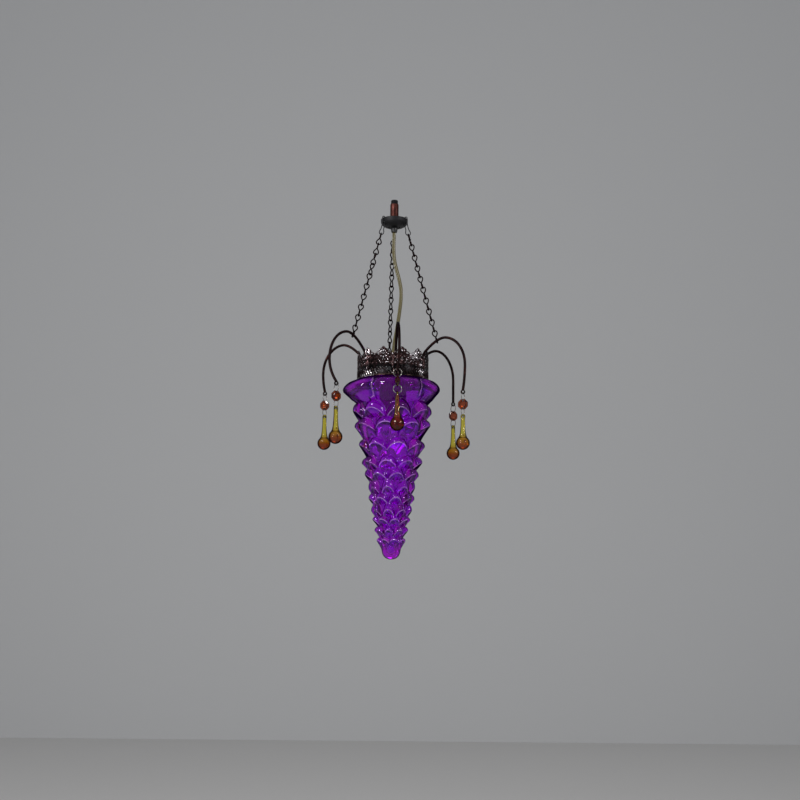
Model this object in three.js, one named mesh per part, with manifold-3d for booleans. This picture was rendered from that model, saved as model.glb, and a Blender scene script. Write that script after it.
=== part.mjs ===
// A hanging lamp in the style of hand-made Middle Eastern glass lamps. A cone of purple glass, covered with rows of
// upturned leaves, hangs in a pierced copper collar. Six bent wire arms stand on the collar and each carries a string
// of ring, crystal bead, ring and amber glass drop. Three chains run from arms to a cast hub under a short stem, and a
// flat twin cord runs from the hub to the lampholder inside the glass.
//
// Millimetres, +Z up. The origin is the centre of the stem's top face, where the ceiling holds the lamp. The front is
// towards -Y, and an azimuth is measured from the front towards +X.
import * as THREE from "three";
import { mergeVertices } from "three/addons/utils/BufferGeometryUtils.js";
import Module from "manifold-3d";

const wasm = await Module();
wasm.setup();

// Clearances
const SEAT = 0.3; // between a piece and what carries it
const SWING_PLAY = 0.7; // round a link or hook that swings

// Stem and hub
const STEM_DIAMETER = 12;
const STEM_LENGTH = 18.7;
const STEM_WALL = 0.7;
const ROD_DIAMETER = 10;
const ROD_BORE = 7.4;
const ROD_ABOVE_STEM = 6;
const ROD_BELOW_HUB = 1.2;
const HUB_DIAMETER = 38.6;
const HUB_HEIGHT = 15;
const HUB_RIM_DROP = 3.6;
const HUB_RIM_WALL = 1.7;
const HUB_RIM_DEPTH = 3.4; // straight part of the rim's inner side
const HUB_FLOOR = 2.4; // wall of the bowl under the rim
const HUB_BOSS_WALL = 2.7; // metal round the rod at the top of the hub
const HOOK_HOLE_DIAMETER = 4.4;
const NUT_ACROSS = 14;
const NUT_THICKNESS = 3;
const NUT_POCKET_PLAY = 0.4; // between the nut's corners and the pocket under the hub
const GRIP_DIAMETER = 9.8;
const GRIP_NOSE_DIAMETER = 7.2;
const GRIP_LENGTH = 6.4; // of the part that shows under the rod
const GRIP_SHANK_LENGTH = 6; // of the part inside the rod
const GRIP_SCREW_DIAMETER = 2;
const GRIP_SCREW_LENGTH = 3;

// Chains
const HOOK_WIRE = 1.4;
const HOOK_DROP = 26; // from the hub's rim down to the hook's lowest point
const HOOK_REACH = 4.35; // how far that point lies outside the rim
const HOOK_STRAIGHT = 9; // length of the upright part beside the rim
const HOOK_BELLY = 7.4;
const LINK_WIRE = 1.8;
const LINK_WIDTH = 8.6;
const LINK_COUNT = 10; // of two loops each
const LINK_PITCH = 16.1;
const LINK_BITE = 0.5; // neighbouring links are joined where they touch

// Collar
const COLLAR_DIAMETER = 100;
const COLLAR_WALL = 1.2;
const COLLAR_VALLEY = 30.7;
const COLLAR_FINIAL = 40.7;
const COLLAR_PANELS = 12;
const FINIAL_AZIMUTH = 15;
const COLLAR_BAND = 10.5; // plain strip under the piercings
const SCREW_DIAMETER = 3;
const SCREW_HEAD_DIAMETER = 5.6;
const SCREW_HEAD_THICKNESS = 1.4;
const SCREW_AZIMUTHS = [-5, 115, 235];

// Arms. Rise, eye height and hook-on height are measured from the collar's lower edge.
const ARM_WIRE = 3.8;
const ARM_FOOT = 15;
const ARM_STAND = 35; // height at which the wire starts to bend outwards
const ARM_INNER_BEND = 1.7; // the inner side of the bend is flatter the nearer this is to 1
const ARM_HOOK_RADIUS = 67; // distance from the lamp's axis at which a chain takes hold
const ARM_SHOULDER = 40; // height of the outer bend
const EYE_DIAMETER = 6.4;
const EYE_THICKNESS = 2.6;
const EYE_HOLE_DIAMETER = 3.4;
// The wires are bent and the glass drops drawn by hand, so each one differs a little from its neighbours.
const ARMS = [
  { azimuth: 5, rise: 66, reach: 105, eye: -1, tuck: 0, sway: -2, dropLength: 53 },
  { azimuth: 65, rise: 56, reach: 109, eye: -22, tuck: 3, sway: 0, dropLength: 49 },
  { azimuth: 125, rise: 52.6, reach: 107, eye: -22.4, tuck: 0, sway: 0, dropLength: 50.5 },
  { azimuth: 185, rise: 58.5, reach: 106, eye: -24, tuck: 0, sway: 0, dropLength: 51 },
  { azimuth: 245, rise: 58, reach: 111.5, eye: -11, tuck: 3.5, sway: 0, dropLength: 51 },
  { azimuth: 305, rise: 61, reach: 104.5, eye: -16, tuck: 3, sway: 14, dropLength: 51.5 },
];
// How far each link's upper loop is turned from the chain's own plane, from the hub down. The lower loop stands a
// quarter turn from it, but a flat link has both in one plane.
const CHAINS = [
  { name: "right", arm: 1, turns: [99, 9, 9, 9, 9, 9, 9, 9, 9, 9], flatLink: 0 },
  { name: "back", arm: 3, turns: [-62, -62, -62, -62, -62, -62, -62, -62, -45, -20] },
  { name: "left", arm: 5, turns: [55, 58, 75, 110, 145, 145, 145, 145, 157, 170] },
];

// Strings of beads
const RING_DIAMETER = 12;
const RING_WIRE = 1.1;
const BEAD_THICKNESS = 6.4;
const BEAD_EDGE = 2.2;
const BEAD_TABLE = 6;
const BEAD_HOLE_DIAMETER = 2.4;
const BEAD_HOLE_SPACING = 10.4;
const BEAD_HOLE_WALL = 0.6; // glass between a hole and the bead's edge
const DROP_BULB = 20;
const DROP_NECK = 6.2;
const DROP_EYE_DIAMETER = 7;
const DROP_EYE_THICKNESS = 3;
const DROP_HOLE_DIAMETER = 3;

// Glass shade. Drops are measured down from the collar's lower edge.
const NECK_DIAMETER = 92;
const NECK_HEIGHT = 14;
const LIP_OUT = 1.5;
const LIP_HEIGHT = 3.6;
const GLASS_WALL = 2.4; // in the creases between the leaves
const CONE_TOP = { drop: 32.4, radius: 48.9 };
const CONE_FOOT = { drop: 217, radius: 14.5 };
const BRIM_RADIUS = 68.5;
const BRIM_DROP = 14.5;
const BRIM_LEAN = 2.2; // how far the brim is drawn out towards the left
const PETALS = 5;
const PETAL_AZIMUTH = 8;
const PETAL_DIP = 0.5; // share of the flare that is lost between petals
const LEAVES = 8;
const LEAF_AZIMUTH = 12.3;
const TIP_RADIUS = 12.8;
const TIP_DROP = 248;
// Each row of leaves: how far its points lie below the collar, how far they stand out, and the crease above them.
const LEAF_ROWS = [
  { drop: 43.3, out: 9.3, above: 11 },
  { drop: 63.3, out: 10.5, above: 8.5 },
  { drop: 90.8, out: 8.4, above: 7.8 },
  { drop: 115, out: 8.7, above: 8 },
  { drop: 131.9, out: 7.3, above: 8.1 },
  { drop: 149.7, out: 5.2, above: 10.2 },
  { drop: 164.6, out: 7.3, above: 7.5 },
  { drop: 180.9, out: 6.6, above: 9.1 },
  { drop: 193.9, out: 6.8, above: 5.5 },
  { drop: 208.3, out: 6.5, above: 6 },
  { drop: 221.5, out: 5.6, above: 3.9 },
];

// Lampholder and bulb
const BRIDGE_WIDTH = 12;
const BRIDGE_THICKNESS = 2;
const BRIDGE_AZIMUTH = 95;
const NIPPLE_BELOW_BRIDGE = 9;
const NIPPLE_ABOVE_NUT = 1.5;
const HOLDER_DIAMETER = 36;
const HOLDER_WALL = 1.6;
const HOLDER_CAP_HEIGHT = 13;
const HOLDER_SHELL_LENGTH = 53;
const HOLDER_BORE = 30.4;
const SLEEVE_DIAMETER = 28.6;
const SLEEVE_WALL = 0.6;
const SLEEVE_LENGTH = 30;
const BLOCK_THICKNESS = 11;
const BULB_CAP_DIAMETER = 26.2;
const BULB_CAP_LENGTH = 24;
const BULB_DIAMETER = 35;
const BULB_LENGTH = 66;
const BULB_WALL = 1;
const BULB_NECK_DIAMETER = 23;

// Cord, a flat twin flex with some slack. Its points run from the hub to the lampholder, chosen by hand.
const CORD_WIDTH = 5.1;
const CORD_THICKNESS = 2.8;
const CORD_SLACK = [
  { share: 0, x: 0, y: 0 },
  { share: 0.12, x: -0.4, y: -0.4 },
  { share: 0.2, x: 0.4, y: -1 },
  { share: 0.28, x: 3.4, y: -2.6 },
  { share: 0.36, x: 7.4, y: -4.6 },
  { share: 0.44, x: 10.3, y: -6 },
  { share: 0.51, x: 10.6, y: -6.4 },
  { share: 0.59, x: 9.2, y: -5.8 },
  { share: 0.67, x: 7.2, y: -4.4 },
  { share: 0.75, x: 4.8, y: -2.8 },
  { share: 0.82, x: 2.4, y: -1.2 },
  { share: 0.9, x: 0.8, y: -0.3 },
  { share: 1, x: 0, y: 0 },
];
const CORD_STEPS = 30;

// Fineness of the faceted solids
const ROUND_SIDES = 16;
const SMALL_SIDES = 10;
const ROD_SIDES = 12;
const HOLE_SIDES = 8;
const WIRE_SIDES = 5;
const LINK_SIDES = 4;
const ARM_SIDES = 6;
const ARM_STEPS = 18;
const HOOK_STEPS = 20;
const RING_STEPS = 12;
const SHADE_SIDES = 32;
const COLLAR_STEPS_PER_PANEL = 6;
const HOLE_INSET = Math.cos(Math.PI / HOLE_SIDES); // a many-sided hole is this much narrower across its flats

const degrees = THREE.MathUtils.degToRad;

const rodHole = ROD_DIAMETER / 2 + SEAT;

// Levels down the lamp's axis
const hubTop = -STEM_LENGTH - SEAT;
const hubBottom = hubTop - HUB_HEIGHT;
const rimTop = hubTop - HUB_RIM_DROP;
const hookRadius = HUB_DIAMETER / 2 - HUB_RIM_WALL / 2;
const hookFoot = new THREE.Vector2(hookRadius + HOOK_REACH, rimTop - HOOK_DROP);
const chainDrop = Math.sqrt((LINK_COUNT * LINK_PITCH) ** 2 - (ARM_HOOK_RADIUS - hookFoot.x) ** 2);
const chainedRise = CHAINS.reduce((sum, chain) => sum + ARMS[chain.arm].rise, 0) / CHAINS.length;
const armFootRadius = COLLAR_DIAMETER / 2 - COLLAR_WALL - SEAT - ARM_WIRE / 2;
const hookShare = hookOnShare(ARMS[CHAINS[0].arm]);
const collarBottom = hookFoot.y - chainDrop - ARM_STAND - (chainedRise - ARM_STAND) * hookShare;
const lipTop = collarBottom + NECK_HEIGHT;
const bridgeBottom = lipTop + 3.6;
const bridgeTop = bridgeBottom + BRIDGE_THICKNESS;
const capTop = bridgeBottom - SEAT;
const capBottom = capTop - HOLDER_CAP_HEIGHT;
const shellTop = capBottom - SEAT;
const shellBottom = shellTop - HOLDER_SHELL_LENGTH;

// How far up its inner bend an arm's wire is where the chain takes hold, as a share of the bend's height.
function hookOnShare(arm) {
  const half = (arm.reach - armFootRadius) / 2;
  const across = (armFootRadius + half - ARM_HOOK_RADIUS) / half;
  return 1 - across ** ARM_INNER_BEND;
}

// Materials
const finish = (color, metalness, roughness, more = {}) =>
  new THREE.MeshStandardMaterial({ color, metalness, roughness, ...more });
const agedCopper = finish(0x4a2a22, 0.9, 0.42);
const blackenedIron = finish(0x17171a, 0.8, 0.5);
const silveredWire = finish(0xb9b4a6, 1, 0.28);
const brass = finish(0xb0903f, 1, 0.35);
const blackBakelite = finish(0x141416, 0, 0.35);
const porcelain = finish(0xe8e4da, 0, 0.3);
const goldFlex = finish(0x6d6326, 0, 0.35);
const purpleGlass = finish(0x5a10a8, 0, 0.05, { transparent: true, opacity: 0.6 });
const amberCrystal = finish(0x7a2c0e, 0, 0.04, { transparent: true, opacity: 0.7 });
const amberGlass = finish(0x8a3a0c, 0, 0.05, { transparent: true, opacity: 0.7 });
const clearGlass = finish(0xdfe6e6, 0, 0.03, { transparent: true, opacity: 0.3 });

const lamp = new THREE.Group();

function add(name, geometry, material, parent = lamp) {
  const mesh = new THREE.Mesh(geometry, material);
  mesh.name = name;
  parent.add(mesh);
  return mesh;
}

// A group turned so that its +X points outwards at an azimuth.
function facing(azimuth) {
  const group = new THREE.Group();
  group.rotation.z = degrees(azimuth - 90);
  lamp.add(group);
  return group;
}

// Solids for cutting and joining
function solidOf(geometry) {
  const bare = geometry.index ? geometry.toNonIndexed() : geometry.clone();
  bare.deleteAttribute("normal");
  bare.deleteAttribute("uv");
  const merged = mergeVertices(bare, 1e-4);
  const mesh = new wasm.Mesh({
    numProp: 3,
    vertProperties: merged.attributes.position.array,
    triVerts: new Uint32Array(merged.index.array),
  });
  return new wasm.Manifold(mesh);
}

function geometryOf(solid) {
  const mesh = solid.getMesh();
  const geometry = new THREE.BufferGeometry();
  geometry.setAttribute("position", new THREE.BufferAttribute(mesh.vertProperties, 3));
  geometry.setIndex(new THREE.BufferAttribute(mesh.triVerts, 1));
  return geometry;
}

// A turned piece. The outline is a list of [radius, height] points that runs anticlockwise.
function turned(outline, sides = ROUND_SIDES) {
  const points = outline.map(([radius, height]) => new THREE.Vector2(radius, height));
  return new THREE.LatheGeometry(points, sides).rotateX(Math.PI / 2);
}

// A tube or washer between two heights.
function pipe(outer, inner, bottom, top, sides = ROUND_SIDES) {
  return turned(
    [
      [inner, bottom],
      [outer, bottom],
      [outer, top],
      [inner, top],
      [inner, bottom],
    ],
    sides,
  );
}

// A cylinder whose length runs along X, for a hole or screw that points outwards.
function spindle(radius, length, sides = HOLE_SIDES) {
  return new THREE.CylinderGeometry(radius, radius, length, sides).rotateZ(Math.PI / 2);
}

// A cylinder whose length runs along Y, for the eyes and holes that a ring passes through.
function eyePin(radius, length, sides = HOLE_SIDES) {
  return new THREE.CylinderGeometry(radius, radius, length, sides);
}

// A closed loop of round wire in the XZ plane. Its centreline is a list of Vector2 that runs anticlockwise.
function wireLoop(centreline, wire, sides = WIRE_SIDES) {
  const count = centreline.length;
  const positions = [];
  const index = [];
  centreline.forEach((point, i) => {
    const along = centreline[(i + 1) % count].clone().sub(centreline[(i + count - 1) % count]).normalize();
    for (let j = 0; j < sides; j += 1) {
      const turn = (2 * Math.PI * j) / sides;
      const out = (wire / 2) * Math.cos(turn);
      positions.push(point.x + along.y * out, (wire / 2) * Math.sin(turn), point.y - along.x * out);
      const here = i * sides + j;
      const beside = i * sides + ((j + 1) % sides);
      const next = (here + sides) % (count * sides);
      const nextBeside = (beside + sides) % (count * sides);
      index.push(here, beside, next, beside, nextBeside, next);
    }
  });
  const geometry = new THREE.BufferGeometry();
  geometry.setAttribute("position", new THREE.Float32BufferAttribute(positions, 3));
  geometry.setIndex(index);
  return geometry;
}

function circle(radius, steps) {
  return Array.from({ length: steps }, (_, i) => {
    const turn = (2 * Math.PI * i) / steps;
    return new THREE.Vector2(radius * Math.cos(turn), radius * Math.sin(turn));
  });
}

// A smooth closed curve through a few points, as a list of points.
function smoothLoop(points, steps) {
  const curve = new THREE.CatmullRomCurve3(
    points.map(([x, z]) => new THREE.Vector3(x, 0, z)),
    true,
  );
  return curve.getPoints(steps).slice(0, steps).map((p) => new THREE.Vector2(p.x, p.z));
}

// Stem, threaded rod and hub
add("stem_tube", pipe(STEM_DIAMETER / 2, STEM_DIAMETER / 2 - STEM_WALL, -STEM_LENGTH, 0), agedCopper);
add(
  "threaded_rod",
  pipe(ROD_DIAMETER / 2, ROD_BORE / 2, hubBottom - ROD_BELOW_HUB, ROD_ABOVE_STEM, ROD_SIDES),
  blackenedIron,
);

// The hub is a bowl with a boss in its middle. The lock nut sits in a pocket under the boss.
const nutCorner = NUT_ACROSS / Math.sqrt(3);
const nutPocket = nutCorner + NUT_POCKET_PLAY;
const lockNutBottom = hubBottom + SEAT;
const lockNutTop = lockNutBottom + NUT_THICKNESS;
const crownReach = HUB_RIM_WALL / 2 + SWING_PLAY + HOOK_WIRE / 2; // from the rim's middle to the wire's middle

function hubPlate() {
  const edge = HUB_DIAMETER / 2;
  const inner = edge - HUB_RIM_WALL;
  const boss = nutPocket + 1.2;
  const rimFoot = rimTop - HUB_RIM_DEPTH;
  const bowl = [
    [boss, hubBottom],
    [0.75 * edge, hubBottom + 1.4],
    [0.92 * edge, hubBottom + 3.5],
    [0.985 * edge, hubBottom + 6],
    [edge, rimTop - 3],
    [edge, rimTop - 0.4],
    [edge - 0.4, rimTop],
    [inner + 0.3, rimTop],
    [inner, rimTop - 0.4],
    [inner, rimFoot],
    [0.92 * edge - 1.1, hubBottom + 3.5 + HUB_FLOOR],
    [0.75 * edge - 0.6, hubBottom + 1.4 + HUB_FLOOR],
    [boss + 0.4, hubBottom + 1 + HUB_FLOOR],
    [boss, lockNutTop + 2 * HUB_FLOOR],
  ];
  const body = solidOf(
    turned([
      [rodHole, lockNutTop + SEAT],
      [nutPocket, lockNutTop + SEAT],
      [nutPocket, hubBottom],
      ...bowl,
      [rodHole + HUB_BOSS_WALL, hubTop - 5],
      [rodHole + HUB_BOSS_WALL, hubTop - 0.5],
      [rodHole + HUB_BOSS_WALL - 0.5, hubTop],
      [rodHole, hubTop],
      [rodHole, lockNutTop + SEAT],
    ]),
  );
  return CHAINS.reduce((plate, chain) => {
    const bore = HOOK_HOLE_DIAMETER / 2;
    const hole = new THREE.CylinderGeometry(bore, bore, HUB_HEIGHT, HOLE_SIDES);
    hole.rotateX(Math.PI / 2).translate(hookRadius - crownReach, 0, rimFoot - HUB_HEIGHT / 2);
    hole.rotateZ(degrees(ARMS[chain.arm].azimuth - 90));
    return plate.subtract(solidOf(hole));
  }, body);
}
add("hub_plate", geometryOf(hubPlate()), blackenedIron);

// A six-sided nut that fits round a threaded rod, standing on a given height.
function rodNut(bottom) {
  const blank = new THREE.CylinderGeometry(nutCorner, nutCorner, NUT_THICKNESS, 6);
  const bore = new THREE.CylinderGeometry(rodHole, rodHole, 3 * NUT_THICKNESS, ROD_SIDES);
  const nut = geometryOf(solidOf(blank).subtract(solidOf(bore)));
  return nut.rotateX(Math.PI / 2).translate(0, 0, bottom + NUT_THICKNESS / 2);
}
add("hub_lock_nut", rodNut(lockNutBottom), blackenedIron);

// The cord grip's shank screws into the rod's end, and a small screw from the side clamps the cord.
const gripTop = hubBottom - ROD_BELOW_HUB - SEAT;
const gripBottom = gripTop - GRIP_LENGTH;
const gripCordHole = CORD_WIDTH / 2 + SEAT;
const gripScrewHeight = gripTop - GRIP_LENGTH / 2;

function cordGrip() {
  const shank = (ROD_BORE / 2) * Math.cos(Math.PI / ROD_SIDES) - SEAT / 2;
  const shoulder = GRIP_DIAMETER / 2;
  const nose = GRIP_NOSE_DIAMETER / 2;
  const body = solidOf(
    turned([
      [gripCordHole, gripBottom],
      [nose, gripBottom],
      [nose + 0.8, gripBottom + 1.2],
      [shoulder - 0.2, gripTop - 0.4 * GRIP_LENGTH],
      [shoulder, gripTop - 0.5],
      [shoulder - 0.3, gripTop],
      [shank, gripTop],
      [shank, gripTop + GRIP_SHANK_LENGTH],
      [gripCordHole, gripTop + GRIP_SHANK_LENGTH],
      [gripCordHole, gripBottom],
    ]),
  );
  const hole = spindle(GRIP_SCREW_DIAMETER / 2 + SEAT, GRIP_DIAMETER, SMALL_SIDES);
  hole.translate(GRIP_DIAMETER / 2, 0, gripScrewHeight).rotateZ(degrees(ARMS[3].azimuth - 90));
  return body.subtract(solidOf(hole));
}
add("cord_grip", geometryOf(cordGrip()), blackBakelite);

const gripScrew = spindle(GRIP_SCREW_DIAMETER / 2, GRIP_SCREW_LENGTH);
gripScrew.translate(CORD_THICKNESS / 2 + SEAT + GRIP_SCREW_LENGTH / 2, 0, gripScrewHeight);
add("grip_screw", gripScrew, blackBakelite, facing(ARMS[3].azimuth));

// Chains. Each hangs in its own plane from the hub's edge to an arm.
function armPoint(arm, radius) {
  const half = (arm.reach - armFootRadius) / 2;
  const middle = armFootRadius + half;
  const across = Math.min(1, Math.abs(radius - middle) / half);
  const isInner = radius < middle;
  const fall = isInner ? across ** ARM_INNER_BEND : 1 - Math.sqrt(1 - across ** 2);
  const bend = isInner ? arm.rise - ARM_STAND : ARM_SHOULDER;
  return new THREE.Vector2(radius, collarBottom + arm.rise - bend * fall);
}

// A hook is a pear-shaped loop over the hub's rim. It is upright beside the rim, and leans outwards below it.
function hookLoop() {
  const top = SWING_PLAY + SEAT + HOOK_WIRE / 2;
  const belly = HOOK_BELLY / 2;
  const lean = (down) => (HOOK_REACH * Math.max(0, down - HOOK_STRAIGHT)) / (HOOK_DROP - HOOK_STRAIGHT);
  const side = (out, down) => [lean(down) + out, -down];
  return smoothLoop(
    [
      [crownReach, -2.8],
      [crownReach * 0.82, top - 0.9],
      [0, top],
      [-crownReach * 0.82, top - 0.9],
      [-crownReach, -2.8],
      side(-crownReach, HOOK_STRAIGHT),
      side(-crownReach, HOOK_DROP - 2.4 * belly),
      side(-belly, HOOK_DROP - 1.1 * belly),
      side(-belly * 0.7, HOOK_DROP - 0.25 * belly),
      side(0, HOOK_DROP),
      side(belly * 0.7, HOOK_DROP - 0.25 * belly),
      side(belly, HOOK_DROP - 1.1 * belly),
      side(crownReach, HOOK_DROP - 2.4 * belly),
      side(crownReach, HOOK_STRAIGHT),
    ],
    HOOK_STEPS,
  );
}

// One loop of a link, blunt at its outer end and narrower towards the waist where the link's two loops meet.
function linkLoop(length) {
  const half = (LINK_WIDTH - LINK_WIRE) / 2;
  const end = length / 2;
  return [
    [half, 0.45 * end],
    [0.45 * half, end],
    [-0.45 * half, end],
    [-half, 0.45 * end],
    [-0.28 * half, -end],
    [0.28 * half, -end],
  ].map(([x, z]) => new THREE.Vector2(x, z));
}

// The links from the hook's belly down to the arm, joined into one solid.
function linkString(start, end, { turns, flatLink }) {
  const hooked = LINK_WIRE - LINK_BITE;
  const length = (start - end + (LINK_COUNT - 1) * hooked) / (2 * LINK_COUNT);
  const loop = solidOf(wireLoop(linkLoop(length), LINK_WIRE, LINK_SIDES));
  return turns
    .map((turn, i) => {
      const waist = start - length - i * (2 * length - hooked);
      const upper = loop.rotate([0, 0, turn]).translate([0, 0, waist + length / 2]);
      const lowerTurn = turn + (i === flatLink ? 0 : 90);
      const lower = loop.rotate([180, 0, 0]).rotate([0, 0, lowerTurn]).translate([0, 0, waist - length / 2]);
      return upper.add(lower);
    })
    .reduce((chain, link) => chain.add(link));
}

CHAINS.forEach((chain) => {
  const arm = ARMS[chain.arm];
  const line = armPoint(arm, ARM_HOOK_RADIUS).sub(hookFoot);
  const group = facing(arm.azimuth);
  const hook = wireLoop(hookLoop(), HOOK_WIRE).translate(hookRadius, 0, rimTop);
  add(`chain_hook_${chain.name}`, hook, blackenedIron, group);
  const hanging = new THREE.Group();
  hanging.position.set(hookFoot.x, 0, hookFoot.y);
  hanging.rotation.y = -Math.atan2(line.x, -line.y);
  group.add(hanging);
  const start = HOOK_WIRE / 2 + LINK_WIRE / 2 + SEAT;
  const end = -line.length() - ARM_WIRE / 2 - LINK_WIRE / 2 - SWING_PLAY;
  add(`chain_${chain.name}`, geometryOf(linkString(start, end, chain)), agedCopper, hanging);
});

// Collar. Each panel rises to a pointed finial, and is pierced with a lancet, a lozenge and a small round hole.
const panelAngle = 360 / COLLAR_PANELS;
const collarRadius = COLLAR_DIAMETER / 2;
const collarMiddle = collarRadius - COLLAR_WALL / 2;

function crownHeight(azimuth) {
  const share = Math.abs(THREE.MathUtils.euclideanModulo((azimuth - FINIAL_AZIMUTH) / panelAngle, 1) - 0.5) * 2;
  return THREE.MathUtils.lerp(COLLAR_VALLEY, COLLAR_FINIAL, share ** 1.25);
}

function collarBlank() {
  const inner = collarRadius - COLLAR_WALL;
  const ring = pipe(collarRadius, inner, 0, COLLAR_VALLEY, COLLAR_PANELS * COLLAR_STEPS_PER_PANEL);
  const place = ring.attributes.position;
  for (let i = 0; i < place.count; i += 1) {
    if (place.getZ(i) > COLLAR_VALLEY / 2) {
      const azimuth = THREE.MathUtils.radToDeg(Math.atan2(place.getX(i), -place.getY(i)));
      place.setZ(i, crownHeight(azimuth));
    }
  }
  return solidOf(ring);
}

// A flat outline of [across, height] points, stood upright at an azimuth and driven through the collar's wall.
function piercing(outline, azimuth) {
  const shape = new THREE.Shape(outline.map(([across, height]) => new THREE.Vector2(across, height)));
  const depth = 6 * COLLAR_WALL;
  const cutter = new THREE.ExtrudeGeometry(shape, { depth, bevelEnabled: false });
  cutter.rotateX(Math.PI / 2).rotateZ(Math.PI / 2).translate(collarMiddle - depth / 2, 0, 0);
  return solidOf(cutter.rotateZ(degrees(azimuth - 90)));
}

function collar() {
  const width = (2 * Math.PI * collarRadius) / COLLAR_PANELS;
  const open = COLLAR_VALLEY - COLLAR_BAND;
  const lancet = [
    [-0.17 * width, COLLAR_BAND],
    [0.17 * width, COLLAR_BAND],
    [0.17 * width, COLLAR_BAND + 0.45 * open],
    [0, COLLAR_BAND + 0.78 * open],
    [-0.17 * width, COLLAR_BAND + 0.45 * open],
  ];
  const lozenge = [
    [0, COLLAR_BAND + 0.12 * open],
    [0.1 * width, COLLAR_BAND + 0.42 * open],
    [0, COLLAR_BAND + 0.72 * open],
    [-0.1 * width, COLLAR_BAND + 0.42 * open],
  ];
  const eyelet = circle(0.09 * width, 6).map((p) => [p.x, p.y + COLLAR_VALLEY + 0.1 * open]);
  let solid = collarBlank();
  for (let i = 0; i < COLLAR_PANELS; i += 1) {
    const azimuth = FINIAL_AZIMUTH + i * panelAngle;
    [piercing(lancet, azimuth), piercing(eyelet, azimuth), piercing(lozenge, azimuth + panelAngle / 2)].forEach(
      (cutter) => {
        solid = solid.subtract(cutter);
      },
    );
  }
  SCREW_AZIMUTHS.forEach((azimuth) => {
    const hole = spindle(SCREW_DIAMETER / 2 + SEAT, 6 * COLLAR_WALL);
    hole.translate(collarMiddle, 0, screwHeight - collarBottom).rotateZ(degrees(azimuth - 90));
    solid = solid.subtract(solidOf(hole));
  });
  return geometryOf(solid).translate(0, 0, collarBottom);
}

// The three screws sit under the glass lip and carry the shade.
const lipBottom = lipTop - LIP_HEIGHT;
const screwHeight = lipBottom - SEAT - SCREW_DIAMETER / 2;
add("collar", collar(), agedCopper);

SCREW_AZIMUTHS.forEach((azimuth, i) => {
  const tip = NECK_DIAMETER / 2 + SEAT;
  const headSeat = collarRadius + SEAT;
  const screw = turned(
    [
      [0, tip],
      [SCREW_DIAMETER / 2, tip],
      [SCREW_DIAMETER / 2, headSeat],
      [SCREW_HEAD_DIAMETER / 2, headSeat],
      [0.8 * (SCREW_HEAD_DIAMETER / 2), headSeat + SCREW_HEAD_THICKNESS],
      [0, headSeat + SCREW_HEAD_THICKNESS],
    ],
    SMALL_SIDES,
  );
  screw.rotateY(Math.PI / 2).translate(0, 0, screwHeight);
  add(`shade_screw_${i + 1}`, screw, blackenedIron, facing(azimuth));
});

// Arms. The foot stands inside the collar, the wire bends over and its end is beaten flat into an eye.
function armPath(arm) {
  const half = (arm.reach - armFootRadius) / 2;
  const shoulder = collarBottom + arm.rise - ARM_SHOULDER;
  const neck = collarBottom + arm.eye + EYE_HOLE_DIAMETER / 2 + SEAT;
  const legLength = shoulder - neck;
  const points = [
    new THREE.Vector3(armFootRadius, 0, collarBottom + ARM_STAND - ARM_FOOT),
    new THREE.Vector3(armFootRadius, 0, collarBottom + ARM_STAND - ARM_FOOT / 2),
  ];
  const bendSteps = 8;
  for (let i = 0; i <= bendSteps; i += 1) {
    const radius = armFootRadius + half * (1 - Math.cos((Math.PI * i) / bendSteps));
    const place = armPoint(arm, radius);
    points.push(new THREE.Vector3(place.x, 0, place.y));
  }
  [0.5, 1].forEach((share) => {
    const bow = share ** 2;
    points.push(new THREE.Vector3(arm.reach - arm.tuck * bow, arm.sway * bow, shoulder - legLength * share));
  });
  return new THREE.CatmullRomCurve3(points, false, "centripetal");
}

function armSolid(arm) {
  const section = new THREE.Shape(circle(ARM_WIRE / 2, ARM_SIDES));
  const wire = new THREE.ExtrudeGeometry(section, { steps: ARM_STEPS, extrudePath: armPath(arm) });
  const disc = eyePin(EYE_DIAMETER / 2, EYE_THICKNESS, SMALL_SIDES);
  const hole = eyePin(EYE_HOLE_DIAMETER / 2, 3 * EYE_THICKNESS);
  [disc, hole].forEach((pin) => pin.translate(...eyeCentre(arm).toArray()));
  return solidOf(wire).add(solidOf(disc)).subtract(solidOf(hole));
}

function eyeCentre(arm) {
  return new THREE.Vector3(arm.reach - arm.tuck, arm.sway, collarBottom + arm.eye);
}

// Strings of beads. Heights run down from the middle of the arm's eye, and each piece hangs in the one above.
const ringRadius = (RING_DIAMETER - RING_WIRE) / 2;
const play = (holeDiameter) => (holeDiameter / 2) * HOLE_INSET - RING_WIRE / 2 - SEAT;
const upperRing = -play(EYE_HOLE_DIAMETER) - ringRadius;
const beadMiddle = upperRing - ringRadius - play(BEAD_HOLE_DIAMETER) - BEAD_HOLE_SPACING / 2;
const lowerRing = beadMiddle - BEAD_HOLE_SPACING / 2 - play(BEAD_HOLE_DIAMETER) - ringRadius;
const dropEye = lowerRing - ringRadius - play(DROP_HOLE_DIAMETER);

function ring() {
  return wireLoop(circle(ringRadius, RING_STEPS), RING_WIRE).rotateZ(Math.PI / 2);
}

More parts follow.
